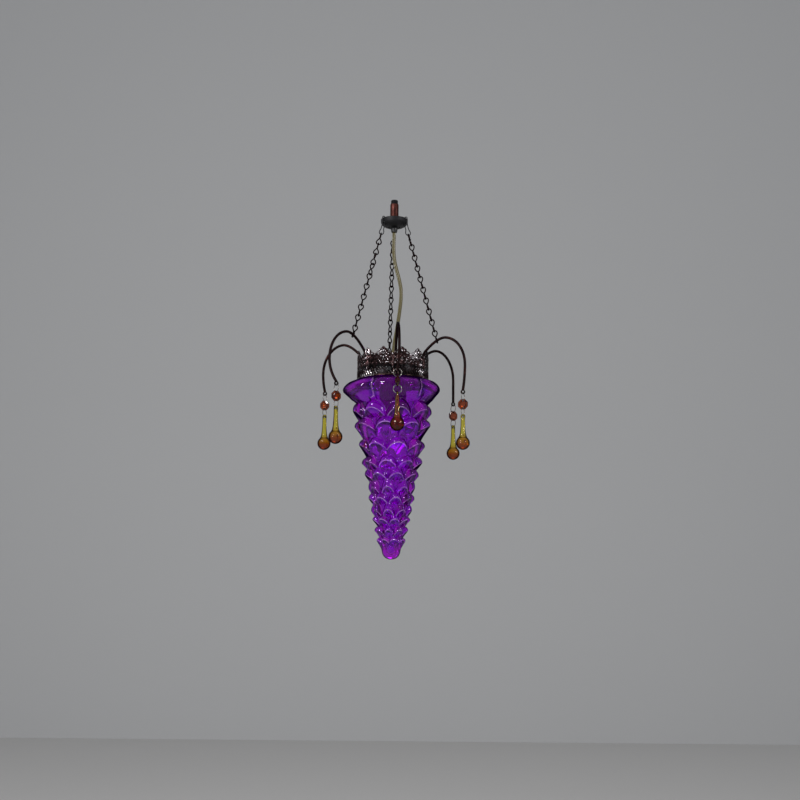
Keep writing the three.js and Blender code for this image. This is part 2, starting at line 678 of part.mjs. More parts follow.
// An eight-sided crystal with a flat table on each face, and a hole near its top and bottom.
function bead() {
  const across = BEAD_HOLE_SPACING + BEAD_HOLE_DIAMETER + 2 * BEAD_HOLE_WALL;
  const corner = across / 2 / Math.cos(Math.PI / 8);
  const shoulder = 0.62 * corner;
  const outline = [
    [0, -BEAD_THICKNESS / 2],
    [BEAD_TABLE / 2, -BEAD_THICKNESS / 2],
    [shoulder, -BEAD_EDGE / 2 - 0.5],
    [corner, -BEAD_EDGE / 2],
    [corner, BEAD_EDGE / 2],
    [shoulder, BEAD_EDGE / 2 + 0.5],
    [BEAD_TABLE / 2, BEAD_THICKNESS / 2],
    [0, BEAD_THICKNESS / 2],
  ];
  let solid = solidOf(turned(outline, 8).rotateZ(Math.PI / 8).rotateX(Math.PI / 2));
  [-1, 1].forEach((side) => {
    const hole = eyePin(BEAD_HOLE_DIAMETER / 2, 2 * BEAD_THICKNESS);
    solid = solid.subtract(solidOf(hole.translate(0, 0, (side * BEAD_HOLE_SPACING) / 2)));
  });
  return geometryOf(solid);
}

// A drop is drawn from a round bulb into a thin neck that ends in a pressed eye.
function drop(length) {
  const radius = DROP_BULB / 2;
  const middle = DROP_EYE_DIAMETER / 2 - length + radius;
  const neck = DROP_NECK / 2;
  const bulb = [-90, -55, -20, 15, 45].map((angle) => [
    radius * Math.cos(degrees(angle)),
    middle + radius * Math.sin(degrees(angle)),
  ]);
  bulb[0][0] = 0;
  const outline = [
    ...bulb,
    [neck * 1.5, middle + radius * 1.15],
    [neck * 1.1, middle + radius * 1.75],
    [neck * 0.9, middle + radius * 2.6],
    [neck, -DROP_EYE_DIAMETER / 2],
    [neck, -DROP_HOLE_DIAMETER / 2 - 0.4],
    [0, -DROP_HOLE_DIAMETER / 2 - 0.4],
  ];
  const eye = eyePin(DROP_EYE_DIAMETER / 2, DROP_EYE_THICKNESS, SMALL_SIDES);
  const hole = eyePin(DROP_HOLE_DIAMETER / 2, 3 * DROP_EYE_THICKNESS);
  const body = solidOf(turned(outline, SMALL_SIDES)).add(solidOf(eye));
  return geometryOf(body.subtract(solidOf(hole)));
}

ARMS.forEach((arm, i) => {
  const number = i + 1;
  const group = facing(arm.azimuth);
  add(`arm_${number}`, geometryOf(armSolid(arm)), agedCopper, group);
  const string = new THREE.Group();
  string.position.copy(eyeCentre(arm));
  group.add(string);
  add(`upper_ring_${number}`, ring(), silveredWire, string).position.z = upperRing;
  add(`bead_${number}`, bead(), amberCrystal, string).position.z = beadMiddle;
  add(`lower_ring_${number}`, ring(), silveredWire, string).position.z = lowerRing;
  add(`drop_${number}`, drop(arm.dropLength), amberGlass, string).position.z = dropEye;
});

// Glass shade
function coneRadius(down) {
  const share = (down - CONE_TOP.drop) / (CONE_FOOT.drop - CONE_TOP.drop);
  return THREE.MathUtils.lerp(CONE_TOP.radius, CONE_FOOT.radius, share);
}

// How far from the middle of the nearest leaf, from 0 at its middle to 1 half-way to its neighbour.
function offLeaf(azimuth, row) {
  const pitch = 360 / LEAVES;
  const turn = THREE.MathUtils.euclideanModulo(azimuth - (row % 2) * (pitch / 2), pitch);
  return (2 * Math.min(turn, pitch - turn)) / pitch;
}

// A leaf swells quickly out of the cone under its arched upper edge, and runs straight back into it below.
function leafBulge(azimuth, down) {
  return LEAF_ROWS.reduce((bulge, leaf, row) => {
    const next = LEAF_ROWS[row + 1];
    const below = next ? next.drop - next.above - leaf.drop : leaf.above;
    const off = offLeaf(azimuth, row);
    const edge = leaf.drop - leaf.above + off ** 2 * leaf.above;
    const span = leaf.above + below;
    const share = (down - edge) / span;
    if (share <= 0 || share >= 1) return bulge;
    const crest = leaf.above / span;
    const tooth = share < crest ? Math.sqrt(share / crest) : (1 - share) / (1 - crest);
    return Math.max(bulge, leaf.out * tooth * Math.sqrt(Math.max(0, 1 - off ** 1.4)));
  }, 0);
}

// The share of the flare that is left at an azimuth: the brim is creased between its petals, and leans to the left.
function brimShare(azimuth, flare) {
  const pitch = 360 / PETALS;
  const turn = THREE.MathUtils.euclideanModulo(azimuth - PETAL_AZIMUTH, pitch);
  const off = Math.abs(2 * Math.min(turn, pitch - turn)) / pitch;
  return 1 - PETAL_DIP * off ** 3 - (BRIM_LEAN / flare) * Math.sin(degrees(azimuth));
}

function glassShade() {
  const seat = COLLAR_DIAMETER / 2;
  const neck = NECK_DIAMETER / 2;
  const flare = BRIM_RADIUS - seat;
  const brim = [
    { down: BRIM_DROP + 9.5, radius: seat + 0.5 * flare },
    { down: BRIM_DROP + 4, radius: BRIM_RADIUS - 1.4 },
    { down: BRIM_DROP, radius: BRIM_RADIUS },
    { down: BRIM_DROP - 5, radius: BRIM_RADIUS - 1.8 },
    { down: BRIM_DROP - 11, radius: seat + 0.5 * flare },
    { down: SEAT + 1, radius: seat + 0.5 },
  ];
  const rows = LEAF_ROWS.flatMap((leaf, row) => {
    const top = leaf.drop - leaf.above;
    const next = LEAF_ROWS[row + 1];
    const end = next ? next.drop - next.above : leaf.drop + leaf.above;
    return [top, top + 0.4 * leaf.above, leaf.drop, leaf.drop + 0.45 * (end - leaf.drop)];
  });
  const foot = LEAF_ROWS[LEAF_ROWS.length - 1];
  const shoulder = foot.drop + foot.above;
  const outer = [
    [0, -TIP_DROP],
    [0.6 * TIP_RADIUS, -TIP_DROP + 1],
    [0.86 * TIP_RADIUS, -TIP_DROP + 4],
    [TIP_RADIUS, -TIP_DROP + 9],
    [TIP_RADIUS + 1, -shoulder],
    ...rows.map((down) => [coneRadius(down), -down]).reverse(),
    ...brim.map(({ down, radius }) => [radius, -down]),
    [neck, -SEAT - 1],
    [neck, NECK_HEIGHT - LIP_HEIGHT],
    [neck + LIP_OUT, NECK_HEIGHT - LIP_HEIGHT],
    [neck + LIP_OUT, NECK_HEIGHT - 1],
    [neck, NECK_HEIGHT],
  ];
  const inside = [
    [neck - GLASS_WALL, NECK_HEIGHT],
    [neck - GLASS_WALL, 0],
    [coneRadius(CONE_TOP.drop) - GLASS_WALL, -CONE_TOP.drop],
    [coneRadius(CONE_FOOT.drop) - GLASS_WALL, -CONE_FOOT.drop],
    [0, -CONE_FOOT.drop - 5],
  ];
  const shell = turned([...outer, ...inside], SHADE_SIDES);
  const place = shell.attributes.position;
  for (let i = 0; i < place.count; i += 1) {
    const x = place.getX(i);
    const y = place.getY(i);
    const down = -place.getZ(i);
    const radius = Math.hypot(x, y);
    if (radius > 1 && down > 0) {
      const azimuth = THREE.MathUtils.radToDeg(Math.atan2(x, -y));
      const isInside = radius < coneRadius(down) - GLASS_WALL / 2;
      const isBrim = radius > seat && down < CONE_TOP.drop;
      const flared = isBrim ? seat + (radius - seat) * brimShare(azimuth + LEAF_AZIMUTH, flare) : radius;
      const swollen = isInside ? radius : flared + leafBulge(azimuth, down);
      place.setX(i, (x * swollen) / radius);
      place.setY(i, (y * swollen) / radius);
    }
  }
  return shell.rotateZ(degrees(LEAF_AZIMUTH)).translate(0, 0, collarBottom);
}
add("glass_shade", glassShade(), purpleGlass);

// Bridge across the collar, and the nipple and nut that hang the lampholder from it.
const bridgeNutBottom = bridgeTop + SEAT;
const nutTop = bridgeNutBottom + NUT_THICKNESS;

function bridge() {
  const length = 2 * (collarRadius - COLLAR_WALL - SEAT) - 1;
  const bar = new THREE.BoxGeometry(length, BRIDGE_WIDTH, BRIDGE_THICKNESS);
  const hole = new THREE.CylinderGeometry(rodHole, rodHole, 4 * BRIDGE_THICKNESS, ROD_SIDES);
  const cut = solidOf(bar).subtract(solidOf(hole.rotateX(Math.PI / 2)));
  return geometryOf(cut).translate(0, 0, bridgeBottom + BRIDGE_THICKNESS / 2);
}
add("lampholder_bridge", bridge(), agedCopper, facing(BRIDGE_AZIMUTH));
add("bridge_nut", rodNut(bridgeNutBottom), agedCopper);
const nippleTop = nutTop + NIPPLE_ABOVE_NUT;
add(
  "bridge_nipple",
  pipe(ROD_DIAMETER / 2, ROD_BORE / 2, bridgeBottom - NIPPLE_BELOW_BRIDGE, nippleTop, ROD_SIDES),
  agedCopper,
);

// Lampholder
const holderRadius = HOLDER_DIAMETER / 2;
add(
  "lampholder_cap",
  turned([
    [holderRadius - HOLDER_WALL, capBottom],
    [holderRadius, capBottom],
    [holderRadius, capTop - 6],
    [holderRadius - 3.4, capTop - 2],
    [holderRadius - 8, capTop],
    [rodHole, capTop],
    [rodHole, capTop - 6],
    [holderRadius - 7, capTop - 6],
    [holderRadius - HOLDER_WALL, capTop - 8],
    [holderRadius - HOLDER_WALL, capBottom],
  ]),
  blackBakelite,
);
add(
  "lampholder_shell",
  turned([
    [HOLDER_BORE / 2, shellBottom],
    [holderRadius, shellBottom],
    [holderRadius, shellTop],
    [holderRadius - HOLDER_WALL, shellTop],
    [holderRadius - HOLDER_WALL, shellBottom + 3],
    [HOLDER_BORE / 2, shellBottom + 3],
    [HOLDER_BORE / 2, shellBottom],
  ]),
  blackBakelite,
);
const blockTop = shellTop - 1;
const blockBottom = blockTop - BLOCK_THICKNESS;
const blockRadius = holderRadius - HOLDER_WALL - SEAT;
add(
  "contact_block",
  turned([
    [0, blockBottom],
    [blockRadius, blockBottom],
    [blockRadius, blockTop - 2],
    [blockRadius - 4, blockTop],
    [0, blockTop],
  ]),
  porcelain,
);
const sleeveTop = blockBottom - SEAT;
add(
  "screw_sleeve",
  pipe(SLEEVE_DIAMETER / 2, SLEEVE_DIAMETER / 2 - SLEEVE_WALL, sleeveTop - SLEEVE_LENGTH, sleeveTop),
  brass,
);
const contactDrop = 4;
const tongue = new THREE.Shape([
  new THREE.Vector2(-7, 0),
  new THREE.Vector2(-7, -1),
  new THREE.Vector2(-1, -contactDrop),
  new THREE.Vector2(4, -contactDrop),
  new THREE.Vector2(4, -contactDrop + 0.8),
  new THREE.Vector2(-0.6, -contactDrop + 0.8),
  new THREE.Vector2(-5, 0),
]);
const tongueStrip = new THREE.ExtrudeGeometry(tongue, { depth: 5, bevelEnabled: false });
tongueStrip.translate(0, 0, -2.5).rotateX(Math.PI / 2).translate(0, 0, sleeveTop);
add("centre_contact", tongueStrip, brass);

// Bulb
const bulbCapTop = sleeveTop - contactDrop - SEAT;
const bulbCapBottom = bulbCapTop - BULB_CAP_LENGTH;
const bulbNeck = BULB_NECK_DIAMETER / 2;
add(
  "bulb_cap",
  turned([
    [bulbNeck + SEAT, bulbCapBottom],
    [BULB_CAP_DIAMETER / 2, bulbCapBottom],
    [BULB_CAP_DIAMETER / 2, bulbCapTop - 6],
    [5, bulbCapTop - 1.5],
    [4.6, bulbCapTop],
    [0, bulbCapTop],
    [0, bulbCapTop - 3],
    [bulbNeck + SEAT, bulbCapTop - 8],
    [bulbNeck + SEAT, bulbCapBottom],
  ]),
  brass,
);
const bulbTop = bulbCapBottom + 12;
const bulbBottom = bulbCapBottom - BULB_LENGTH;
const bulbBelly = bulbCapBottom - 0.42 * BULB_LENGTH;
const bulbRadius = BULB_DIAMETER / 2;
const bulbSkin = (thinner) => [
  [0, bulbBottom + thinner],
  [0.16 * bulbRadius, bulbBottom + 2 + thinner],
  [0.52 * bulbRadius - thinner, bulbBottom + 0.2 * BULB_LENGTH],
  [0.88 * bulbRadius - thinner, bulbBelly - 0.18 * BULB_LENGTH],
  [bulbRadius - thinner, bulbBelly],
  [0.9 * bulbRadius - thinner, bulbBelly + 0.2 * BULB_LENGTH],
  [bulbNeck - thinner, bulbCapBottom],
  [bulbNeck - thinner, bulbTop],
];
add("bulb_glass", turned([...bulbSkin(0), ...bulbSkin(BULB_WALL).reverse()]), clearGlass);

// The bulb's glass foot carries four upright filament sticks, joined by a disc at each end.
const filamentFoot = bulbBelly + 0.22 * BULB_LENGTH;
const filamentEnd = bulbBelly - 0.16 * BULB_LENGTH;
function filament() {
  const foot = turned(
    [
      [0, filamentFoot],
      [4.6, filamentFoot],
      [3, filamentFoot + 6],
      [bulbNeck - BULB_WALL - SEAT, bulbTop],
      [0, bulbTop],
    ],
    SMALL_SIDES,
  );
  const plate = new THREE.CylinderGeometry(4.4, 4.4, 0.8, SMALL_SIDES);
  plate.rotateX(Math.PI / 2).translate(0, 0, filamentEnd);
  let solid = solidOf(foot).add(solidOf(plate));
  for (let i = 0; i < 4; i += 1) {
    const stick = new THREE.BoxGeometry(1, 1, filamentFoot - filamentEnd + 1);
    stick.translate(3.2, 0, (filamentFoot + filamentEnd) / 2).rotateZ((Math.PI / 2) * i);
    solid = solid.add(solidOf(stick));
  }
  return geometryOf(solid);
}
add("bulb_filament", filament(), porcelain);

// Cord
function cordRoute() {
  const top = gripTop + 0.7 * GRIP_SHANK_LENGTH;
  const bottom = nippleTop - 5;
  const points = CORD_SLACK.map(
    ({ share, x, y }) => new THREE.Vector3(x, y, THREE.MathUtils.lerp(gripBottom, nippleTop, share)),
  );
  return new THREE.CatmullRomCurve3([new THREE.Vector3(0, 0, top), ...points, new THREE.Vector3(0, 0, bottom)]);
}

function cord() {
  const half = (CORD_WIDTH - CORD_THICKNESS) / 2;
  const round = CORD_THICKNESS / 2;
  const section = new THREE.Shape([
    new THREE.Vector2(-0.5 * round, -half - 0.85 * round),
    new THREE.Vector2(0.5 * round, -half - 0.85 * round),
    new THREE.Vector2(round, -half),
    new THREE.Vector2(round, half),
    new THREE.Vector2(0.5 * round, half + 0.85 * round),
    new THREE.Vector2(-0.5 * round, half + 0.85 * round),
    new THREE.Vector2(-round, half),
    new THREE.Vector2(-round, -half),
  ]);
  return new THREE.ExtrudeGeometry(section, { steps: CORD_STEPS, extrudePath: cordRoute() });
}
add("pendant_cord", cord(), goldFlex);

export default lamp;
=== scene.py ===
# %% [markdown]
# # A glass pendant lamp
#
# This lesson dresses the plain solids of a hanging lamp. A cone of purple pressed glass hangs in a pierced
# copper collar. Six bent wires stand on the collar and carry crystal beads and amber drops. Three chains
# and a flat cord run up to a black hub. We work in metres, with +Z up and the front of the lamp towards -Y.

import math
from math import cos, pi, radians, sin

import bmesh
import bpy
from mathutils import Matrix, Vector


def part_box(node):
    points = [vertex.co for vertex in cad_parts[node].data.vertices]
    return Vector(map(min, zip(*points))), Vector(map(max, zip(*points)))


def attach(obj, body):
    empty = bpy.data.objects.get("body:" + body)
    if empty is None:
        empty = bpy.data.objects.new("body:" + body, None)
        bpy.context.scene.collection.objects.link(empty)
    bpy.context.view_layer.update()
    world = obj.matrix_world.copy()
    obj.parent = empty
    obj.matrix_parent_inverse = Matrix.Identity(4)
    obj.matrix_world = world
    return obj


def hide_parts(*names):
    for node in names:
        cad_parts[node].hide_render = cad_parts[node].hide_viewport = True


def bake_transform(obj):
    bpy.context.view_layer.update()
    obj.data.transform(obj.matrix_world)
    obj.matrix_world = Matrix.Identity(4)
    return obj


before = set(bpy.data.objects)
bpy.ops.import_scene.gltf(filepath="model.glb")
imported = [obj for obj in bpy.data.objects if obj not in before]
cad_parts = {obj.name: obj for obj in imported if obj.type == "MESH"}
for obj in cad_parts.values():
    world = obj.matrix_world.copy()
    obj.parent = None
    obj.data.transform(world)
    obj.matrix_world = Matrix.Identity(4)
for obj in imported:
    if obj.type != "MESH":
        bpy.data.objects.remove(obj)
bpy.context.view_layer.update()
scene = bpy.context.scene

# %% [markdown]
# The photograph was taken from a little under the lamp's tip, looking up. A camera is a position, a
# direction and a focal length. We could fit it by eye, but the heights of the rings, arms and rows of glass
# give it by sums: 1.6 m away, level with a point 545 mm under the stem's top, tilted up by 9 degrees.

# %% Camera
LENS = 52.1
CAMERA_PLACE = (0.0127, -1.6, -0.545)
TILT, ROLL = 9.24, -0.5
camera = bpy.data.objects.new("camera", bpy.data.cameras.new("camera"))
scene.collection.objects.link(camera)
camera.data.lens = LENS
camera.location = CAMERA_PLACE
camera.rotation_euler = (radians(90 + TILT), radians(ROLL), 0)
scene.camera = camera
print("camera", CAMERA_PLACE)

# %% [markdown]
# A pale floor stands well under the lamp, and a pale wall far behind it. The floor takes its brightness
# from its own colour. Soft lamps stand in front, the key on the left and the fill on the right. A small low
# one adds glints on the glass, and a weak one stands behind.

# %% Floor, wall and lamps
FLOOR_LEVEL = -1.15


def plain_sheet(name, size, place, turn):
    bm = bmesh.new()
    bmesh.ops.create_grid(bm, x_segments=1, y_segments=1, size=size / 2)
    bmesh.ops.rotate(bm, verts=bm.verts, matrix=Matrix.Rotation(radians(turn), 3, "X"))
    bmesh.ops.translate(bm, verts=bm.verts, vec=place)
    mesh = bpy.data.meshes.new(name)
    bm.to_mesh(mesh)
    bm.free()
    sheet = bpy.data.objects.new(name, mesh)
    scene.collection.objects.link(sheet)
    return sheet


floor = plain_sheet("floor", 12, (0, 0, FLOOR_LEVEL), 0)
wall = plain_sheet("backdrop", 12, (0, 3.2, 2.0), 90)
MIDDLE = Vector((0, 0, -0.28))


def soft_lamp(name, place, size, power):
    """A square lamp, aimed at the middle of the pendant."""
    lamp = bpy.data.objects.new(name, bpy.data.lights.new(name, "AREA"))
    lamp.data.size = size
    lamp.data.energy = power
    lamp.location = place
    lamp.rotation_euler = (MIDDLE - Vector(place)).to_track_quat("-Z", "Y").to_euler()
    scene.collection.objects.link(lamp)


soft_lamp("key_lamp", (-1.3, -1.6, 1.0), 0.6, 36)
soft_lamp("fill_lamp", (1.8, -1.4, 0.5), 0.5, 17)
soft_lamp("low_lamp", (-1.1, -1.5, -0.35), 0.24, 9)
soft_lamp("back_lamp", (0.2, 2.2, 1.4), 0.8, 4)
world = bpy.data.worlds.new("room")
world.use_nodes = True
background = world.node_tree.nodes["Background"].inputs
background["Color"].default_value = (0.9, 0.92, 0.95, 1)
background["Strength"].default_value = 0.38
scene.world = world
scene.view_settings.view_transform = "Standard"

# %% [markdown]
# Materials are built from nodes, and sums on their sockets read best as plain expressions. A small class
# wraps a socket so that +, - and * add Math nodes. A second class holds one material and makes any other
# node.

# %% Sums on sockets
def plug(tree, value, slot):
    """Links a socket to a slot, or gives the slot a plain number or colour."""
    if isinstance(value, Value):
        tree.links.new(value.socket, slot)
    else:
        slot.default_value = (*value, 1) if isinstance(value, tuple) else value


class Value:
    """A number socket that can stand in an expression."""

    def __init__(self, socket):
        self.socket = socket

    def maths(self, operation, first, second):
        tree = self.socket.id_data
        node = tree.nodes.new("ShaderNodeMath")
        node.operation = operation
        plug(tree, first, node.inputs[0])
        plug(tree, second, node.inputs[1])
        return Value(node.outputs[0])

    def __add__(self, other):
        return self.maths("ADD", self, other)

    __radd__ = __add__

    def __sub__(self, other):
        return self.maths("SUBTRACT", self, other)

    def __rsub__(self, other):
        return self.maths("SUBTRACT", other, self)

    def __mul__(self, other):
        return self.maths("MULTIPLY", self, other)

    __rmul__ = __mul__


# %% A material under construction
class Finish:
    """One material: its Principled shader, and a method for each kind of step."""

    def __init__(self, name, colour, **fixed):
        self.material = bpy.data.materials.new(name)
        self.material.use_nodes = True
        self.tree = self.material.node_tree
        self.shader = self.tree.nodes["Principled BSDF"]
        self.set("Base Color", colour)
        for socket, value in fixed.items():
            self.set(socket.replace("_", " "), value)

    def set(self, socket, value):
        plug(self.tree, value, self.shader.inputs[socket])

    def make(self, kind, sockets, output=0, stops=(), **settings):
        """Adds one node: its settings and its ramp's stops first, then what goes into its sockets."""
        node = self.tree.nodes.new(kind)
        for key, value in settings.items():
            setattr(node, key, value)
        if stops:
            ramp = node.color_ramp
            while len(ramp.elements) < len(stops):
                ramp.elements.new(0.5)
            for element, (place, colour) in zip(ramp.elements, stops):
                element.position = place
                element.color = (*colour, 1)
        for key, value in sockets.items():
            plug(self.tree, value, node.inputs[key])
        return Value(node.outputs[output])

    def places(self):
        return self.make("ShaderNodeTexCoord", {}, output="Object")

    def noise(self, scale, detail=3.0):
        sockets = {"Vector": self.places(), "Scale": scale, "Detail": detail, "Roughness": 0.55}
        return self.make("ShaderNodeTexNoise", sockets, output="Fac")

    def ramp(self, value, stops):
        return self.make("ShaderNodeValToRGB", {"Fac": value}, stops=stops)

    def attribute(self, name):
        return self.make("ShaderNodeAttribute", {}, output="Fac", attribute_name=name)

    def clamped(self, value):
        return self.make("ShaderNodeClamp", {"Value": value})

    def mix(self, share, first, second):
        return self.make("ShaderNodeMix", {0: share, 6: first, 7: second}, output=2, data_type="RGBA")

    def laid_over(self, colour, share):
        """Mixes a plain matt colour over the finish so far."""
        surface = self.tree.nodes["Material Output"].inputs["Surface"]
        matt = self.make("ShaderNodeBsdfDiffuse", {"Color": colour})
        so_far = Value(surface.links[0].from_socket)
        covered = self.make("ShaderNodeMixShader", {0: share, 1: so_far, 2: matt})
        self.tree.links.new(covered.socket, surface)

    def dark_rim(self, colour, start, gain):
        """Hides the outline, where the surface turns away from us, under a dark colour: a painted shade."""
        away = self.make("ShaderNodeLayerWeight", {"Blend": 0.5}, output="Facing")
        self.laid_over(colour, self.clamped((away - start) * gain))

    def bump(self, height, depth, strength):
        sockets = {"Height": height, "Distance": depth, "Strength": strength}
        self.set("Normal", self.make("ShaderNodeBump", sockets, output="Normal"))


def dimmed(colour, share):
    return tuple(share * part for part in colour)


def stage_finish(name, colour):
    finish = Finish(name, colour, Roughness=0.9)
    finish.set("Base Color", finish.mix(finish.noise(0.7), colour, dimmed(colour, 0.985)))
    return finish.material


floor.data.materials.append(stage_finish("pale_floor", (0.6, 0.59, 0.58)))
wall.data.materials.append(stage_finish("pale_wall", (0.578, 0.58, 0.585)))
print("stage finishes", floor.data.materials[0].name, wall.data.materials[0].name)

# %% [markdown]
# ## Metals
#
# The arms, chains, collar and stem have an antique copper finish: plated, blackened and then rubbed, so
# that it is nearly black in the hollows and a warm red-brown on the high spots. Two noises give that: a
# fine one for the rubbed grain and a broad one for the cloudy tarnish.

# %% Antique copper
def antique_copper(name, rubbed):
    finish = Finish(name, (0.05, 0.03, 0.025), Metallic=0.85, Specular_Tint=(0.15, 0.12, 0.12))
    cloud = finish.noise(90, detail=4)
    grain = finish.noise(900, detail=2)
    hollow, dark, wear_and_glint = (0.006, 0.004, 0.005), (0.012, 0.006, 0.006), (0.12, 0.04, 0.032)
    stops = [(0.0, hollow), (0.54 - rubbed, dark), (0.8 - rubbed, wear_and_glint)]
    finish.set("Base Color", finish.ramp(cloud * 0.7 + grain * 0.3, stops))
    finish.set("Roughness", 0.28 + grain * 0.25)
    finish.bump(grain, 0.00012, 0.5)
    return finish.material


arm_copper = antique_copper("arm_copper", -0.03)
chain_copper = antique_copper("chain_copper", -0.12)
stem_copper = antique_copper("stem_copper", 0.2)
print("coppers", arm_copper.name, chain_copper.name, stem_copper.name)

# %% [markdown]
# The other finishes are simple: cast black iron for the hub and hooks, bright wire for the rings, brass,
# moulded black and a white glaze. One noise varies the colour of each and how dull it is, so one helper
# makes them all.

# %% Simple finishes
def simple_finish(name, colour, stops, scale, dull, spread, detail=3.0, relief=None, **fixed):
    finish = Finish(name, colour, **fixed)
    grain = finish.noise(scale, detail)
    finish.set("Base Color", finish.ramp(grain, stops))
    finish.set("Roughness", dull + grain * spread)
    if relief:
        finish.bump(grain, *relief)
    return finish.material


stops = [(0.3, (0.005, 0.005, 0.006)), (0.8, (0.018, 0.018, 0.021))]
cast = {"detail": 4, "relief": (0.00025, 0.6), "Metallic": 0.6}
iron = simple_finish("black_iron", (0.012, 0.012, 0.014), stops, 700, 0.42, 0.2, **cast)
stops = [(0.0, (0.34, 0.325, 0.3)), (1.0, (0.17, 0.16, 0.145))]
silver = simple_finish("bright_wire", (0.7, 0.67, 0.58), stops, 1500, 0.16, 0.14, detail=2, Metallic=1.0)
stops = [(0.0, (0.68, 0.5, 0.22)), (1.0, (0.4, 0.27, 0.1))]
brass = simple_finish("plain_brass", (0.6, 0.42, 0.16), stops, 160, 0.22, 0.2, Metallic=1.0)
stops = [(0.0, (0.010, 0.010, 0.012)), (1.0, (0.02, 0.019, 0.02))]
bakelite = simple_finish("moulded_black", (0.012, 0.012, 0.013), stops, 300, 0.3, 0.15)
stops = [(0.0, (0.85, 0.83, 0.78)), (1.0, (0.74, 0.71, 0.64))]
porcelain = simple_finish("glazed_white", (0.82, 0.8, 0.74), stops, 200, 0.2, 0.2, Coat_Weight=0.6)
print("simple finishes", [made.name for made in (iron, silver, brass, bakelite, porcelain)])

# %% [markdown]
# ## Glass
#
# Coloured glass is a Principled shader with a strong base colour and nearly full transmission. Pressed
# glass scatters a little of the light back, so the shade and the drops keep theirs just under one. Where
# the surface turns away from us we look through more glass, so its outline is nearly black: Layer Weight
# tells how far it is turned away, and mixes in a matt dark rim as painted shade.

# %% Purple, amber and clear glass
def pressed_glass(name, colour, ripple=0.0, clearness=1.0, refraction=1.5):
    finish = Finish(name, colour, Transmission_Weight=clearness, IOR=refraction)
    cloud = finish.noise(60)
    finish.set("Base Color", finish.mix(cloud, colour, dimmed(colour, 0.85)))
    finish.set("Roughness", 0.005 + cloud * 0.02)
    finish.bump(finish.noise(130, detail=1), ripple, 0.35)
    return finish


def purple_shade_glass():
    """Each leaf's lip carries a thin painted lilac highlight, and a dark band of painted shade lies just
    under it.
    """
    plain, lip, painted_fold_shade = (0.6, 0.006, 0.93), (0.95, 0.5, 1.0), (0.2, 0.001, 0.55)
    finish = pressed_glass("purple_glass", plain, 0.0004, clearness=0.95, refraction=1.34)
    depth = finish.attribute("leaf_depth")
    # The lilac lip stop is a painted highlight, and the dark stop after it is a band of painted shade.
    stops = [(0.0, plain), (0.2, plain), (0.27, lip), (0.33, lip), (0.4, painted_fold_shade), (0.5, painted_fold_shade), (0.8, plain)]
    tone = finish.ramp(depth, stops)
    no_glint, full_glint = (0.0, 0.0, 0.0), (1.0, 1.0, 1.0)
    lip_glint_share = finish.ramp(depth, [(0.22, no_glint), (0.29, full_glint), (0.31, full_glint), (0.37, no_glint)])
    # A matt lilac laid over the lips, broken up by noise, adds to the painted highlight.
    wear_and_glint = finish.clamped(finish.noise(120, detail=1) * 2.4 - 0.6)
    finish.laid_over((0.66, 0.28, 0.96), lip_glint_share * wear_and_glint * 0.5)
    finish.dark_rim((0.006, 0.0, 0.018), 0.5, 4.5)
    finish.set("Base Color", tone)
    return finish.material


def amber_crystal():
    finish = pressed_glass("amber_crystal", (0.46, 0.075, 0.012))
    finish.dark_rim((0.012, 0.002, 0.001), 0.3, 3)
    return finish.material


purple_glass = purple_shade_glass()
crystal = amber_crystal()
clear_glass = pressed_glass("clear_glass", (0.95, 0.97, 0.97)).material
print("glasses", purple_glass.name, crystal.name, clear_glass.name)

# %% [markdown]
# The drops are drawn from one gather of amber glass. It is yellow-green in the thin neck and a deep red-
# brown in the bulb. A pattern that follows the drop is kept in the mesh as an attribute, so every drop
# carries its own.

# %% Amber drop glass
def drop_glass(name, neck, shoulder, bulb, foot):
    finish = pressed_glass(name, bulb, clearness=0.98, refraction=1.36)
    finish.dark_rim((0.008, 0.002, 0.001), 0.22, 3.2)
    stops = [(0.0, neck), (0.5, neck), (0.66, shoulder), (0.78, bulb), (0.93, foot)]
    finish.set("Base Color", finish.ramp(finish.attribute("amber"), stops))
    return finish.material


yellow_to_brown = (0.9, 0.76, 0.08), (0.74, 0.33, 0.006), (0.34, 0.04, 0.003), (0.17, 0.01, 0.002)
yellow_to_red = (0.95, 0.66, 0.10), (0.66, 0.12, 0.004), (0.34, 0.008, 0.001), (0.3, 0.006, 0.001)
amber = drop_glass("amber_glass", *yellow_to_brown)
red_amber = drop_glass("red_amber_glass", *yellow_to_red)
print("drop glasses", amber.name, red_amber.name)

# %% [markdown]
# ## Meshes into pieces
#
# Shapes are given in millimetres. Every piece ends the same way: doubles merged, faces turned outwards,
# then a mesh that rides on one body of the lamp, when it is given a body.

# %% Finishing a piece
MM = 0.001


def kept(name, bm):
    """Turns the faces outwards and keeps a shape as a mesh."""
    bmesh.ops.recalc_face_normals(bm, faces=bm.faces)
    mesh = bpy.data.meshes.new(name)
    bm.to_mesh(mesh)
    bm.free()
    return mesh


def finished(name, bm, material, body, node, smooth=40):
    bmesh.ops.remove_doubles(bm, verts=bm.verts, dist=2e-6)
    mesh = kept(name, bm)
    mesh.materials.append(material)
    if smooth:
        mesh.shade_smooth()
        mesh.set_sharp_from_angle(angle=radians(smooth))
    made = bpy.data.objects.new(name, mesh)
    scene.collection.objects.link(made)
    if body:
        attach(made, body)
    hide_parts(node)
    return made


print("one unit of the shapes is", MM, "m")

# %% [markdown]
# A few helpers place things. Most parts stand round the lamp's axis, so we turn them to an azimuth and move
# them out. A part that points outwards, such as a screw, is made upright first and then laid down.

# %% Places and levels
OUTWARDS = Matrix.Rotation(pi / 2, 4, "Y")
LYING = Matrix.Rotation(pi / 2, 4, "X")
QUARTER_TURN = Matrix.Rotation(pi / 2, 4, "Z")


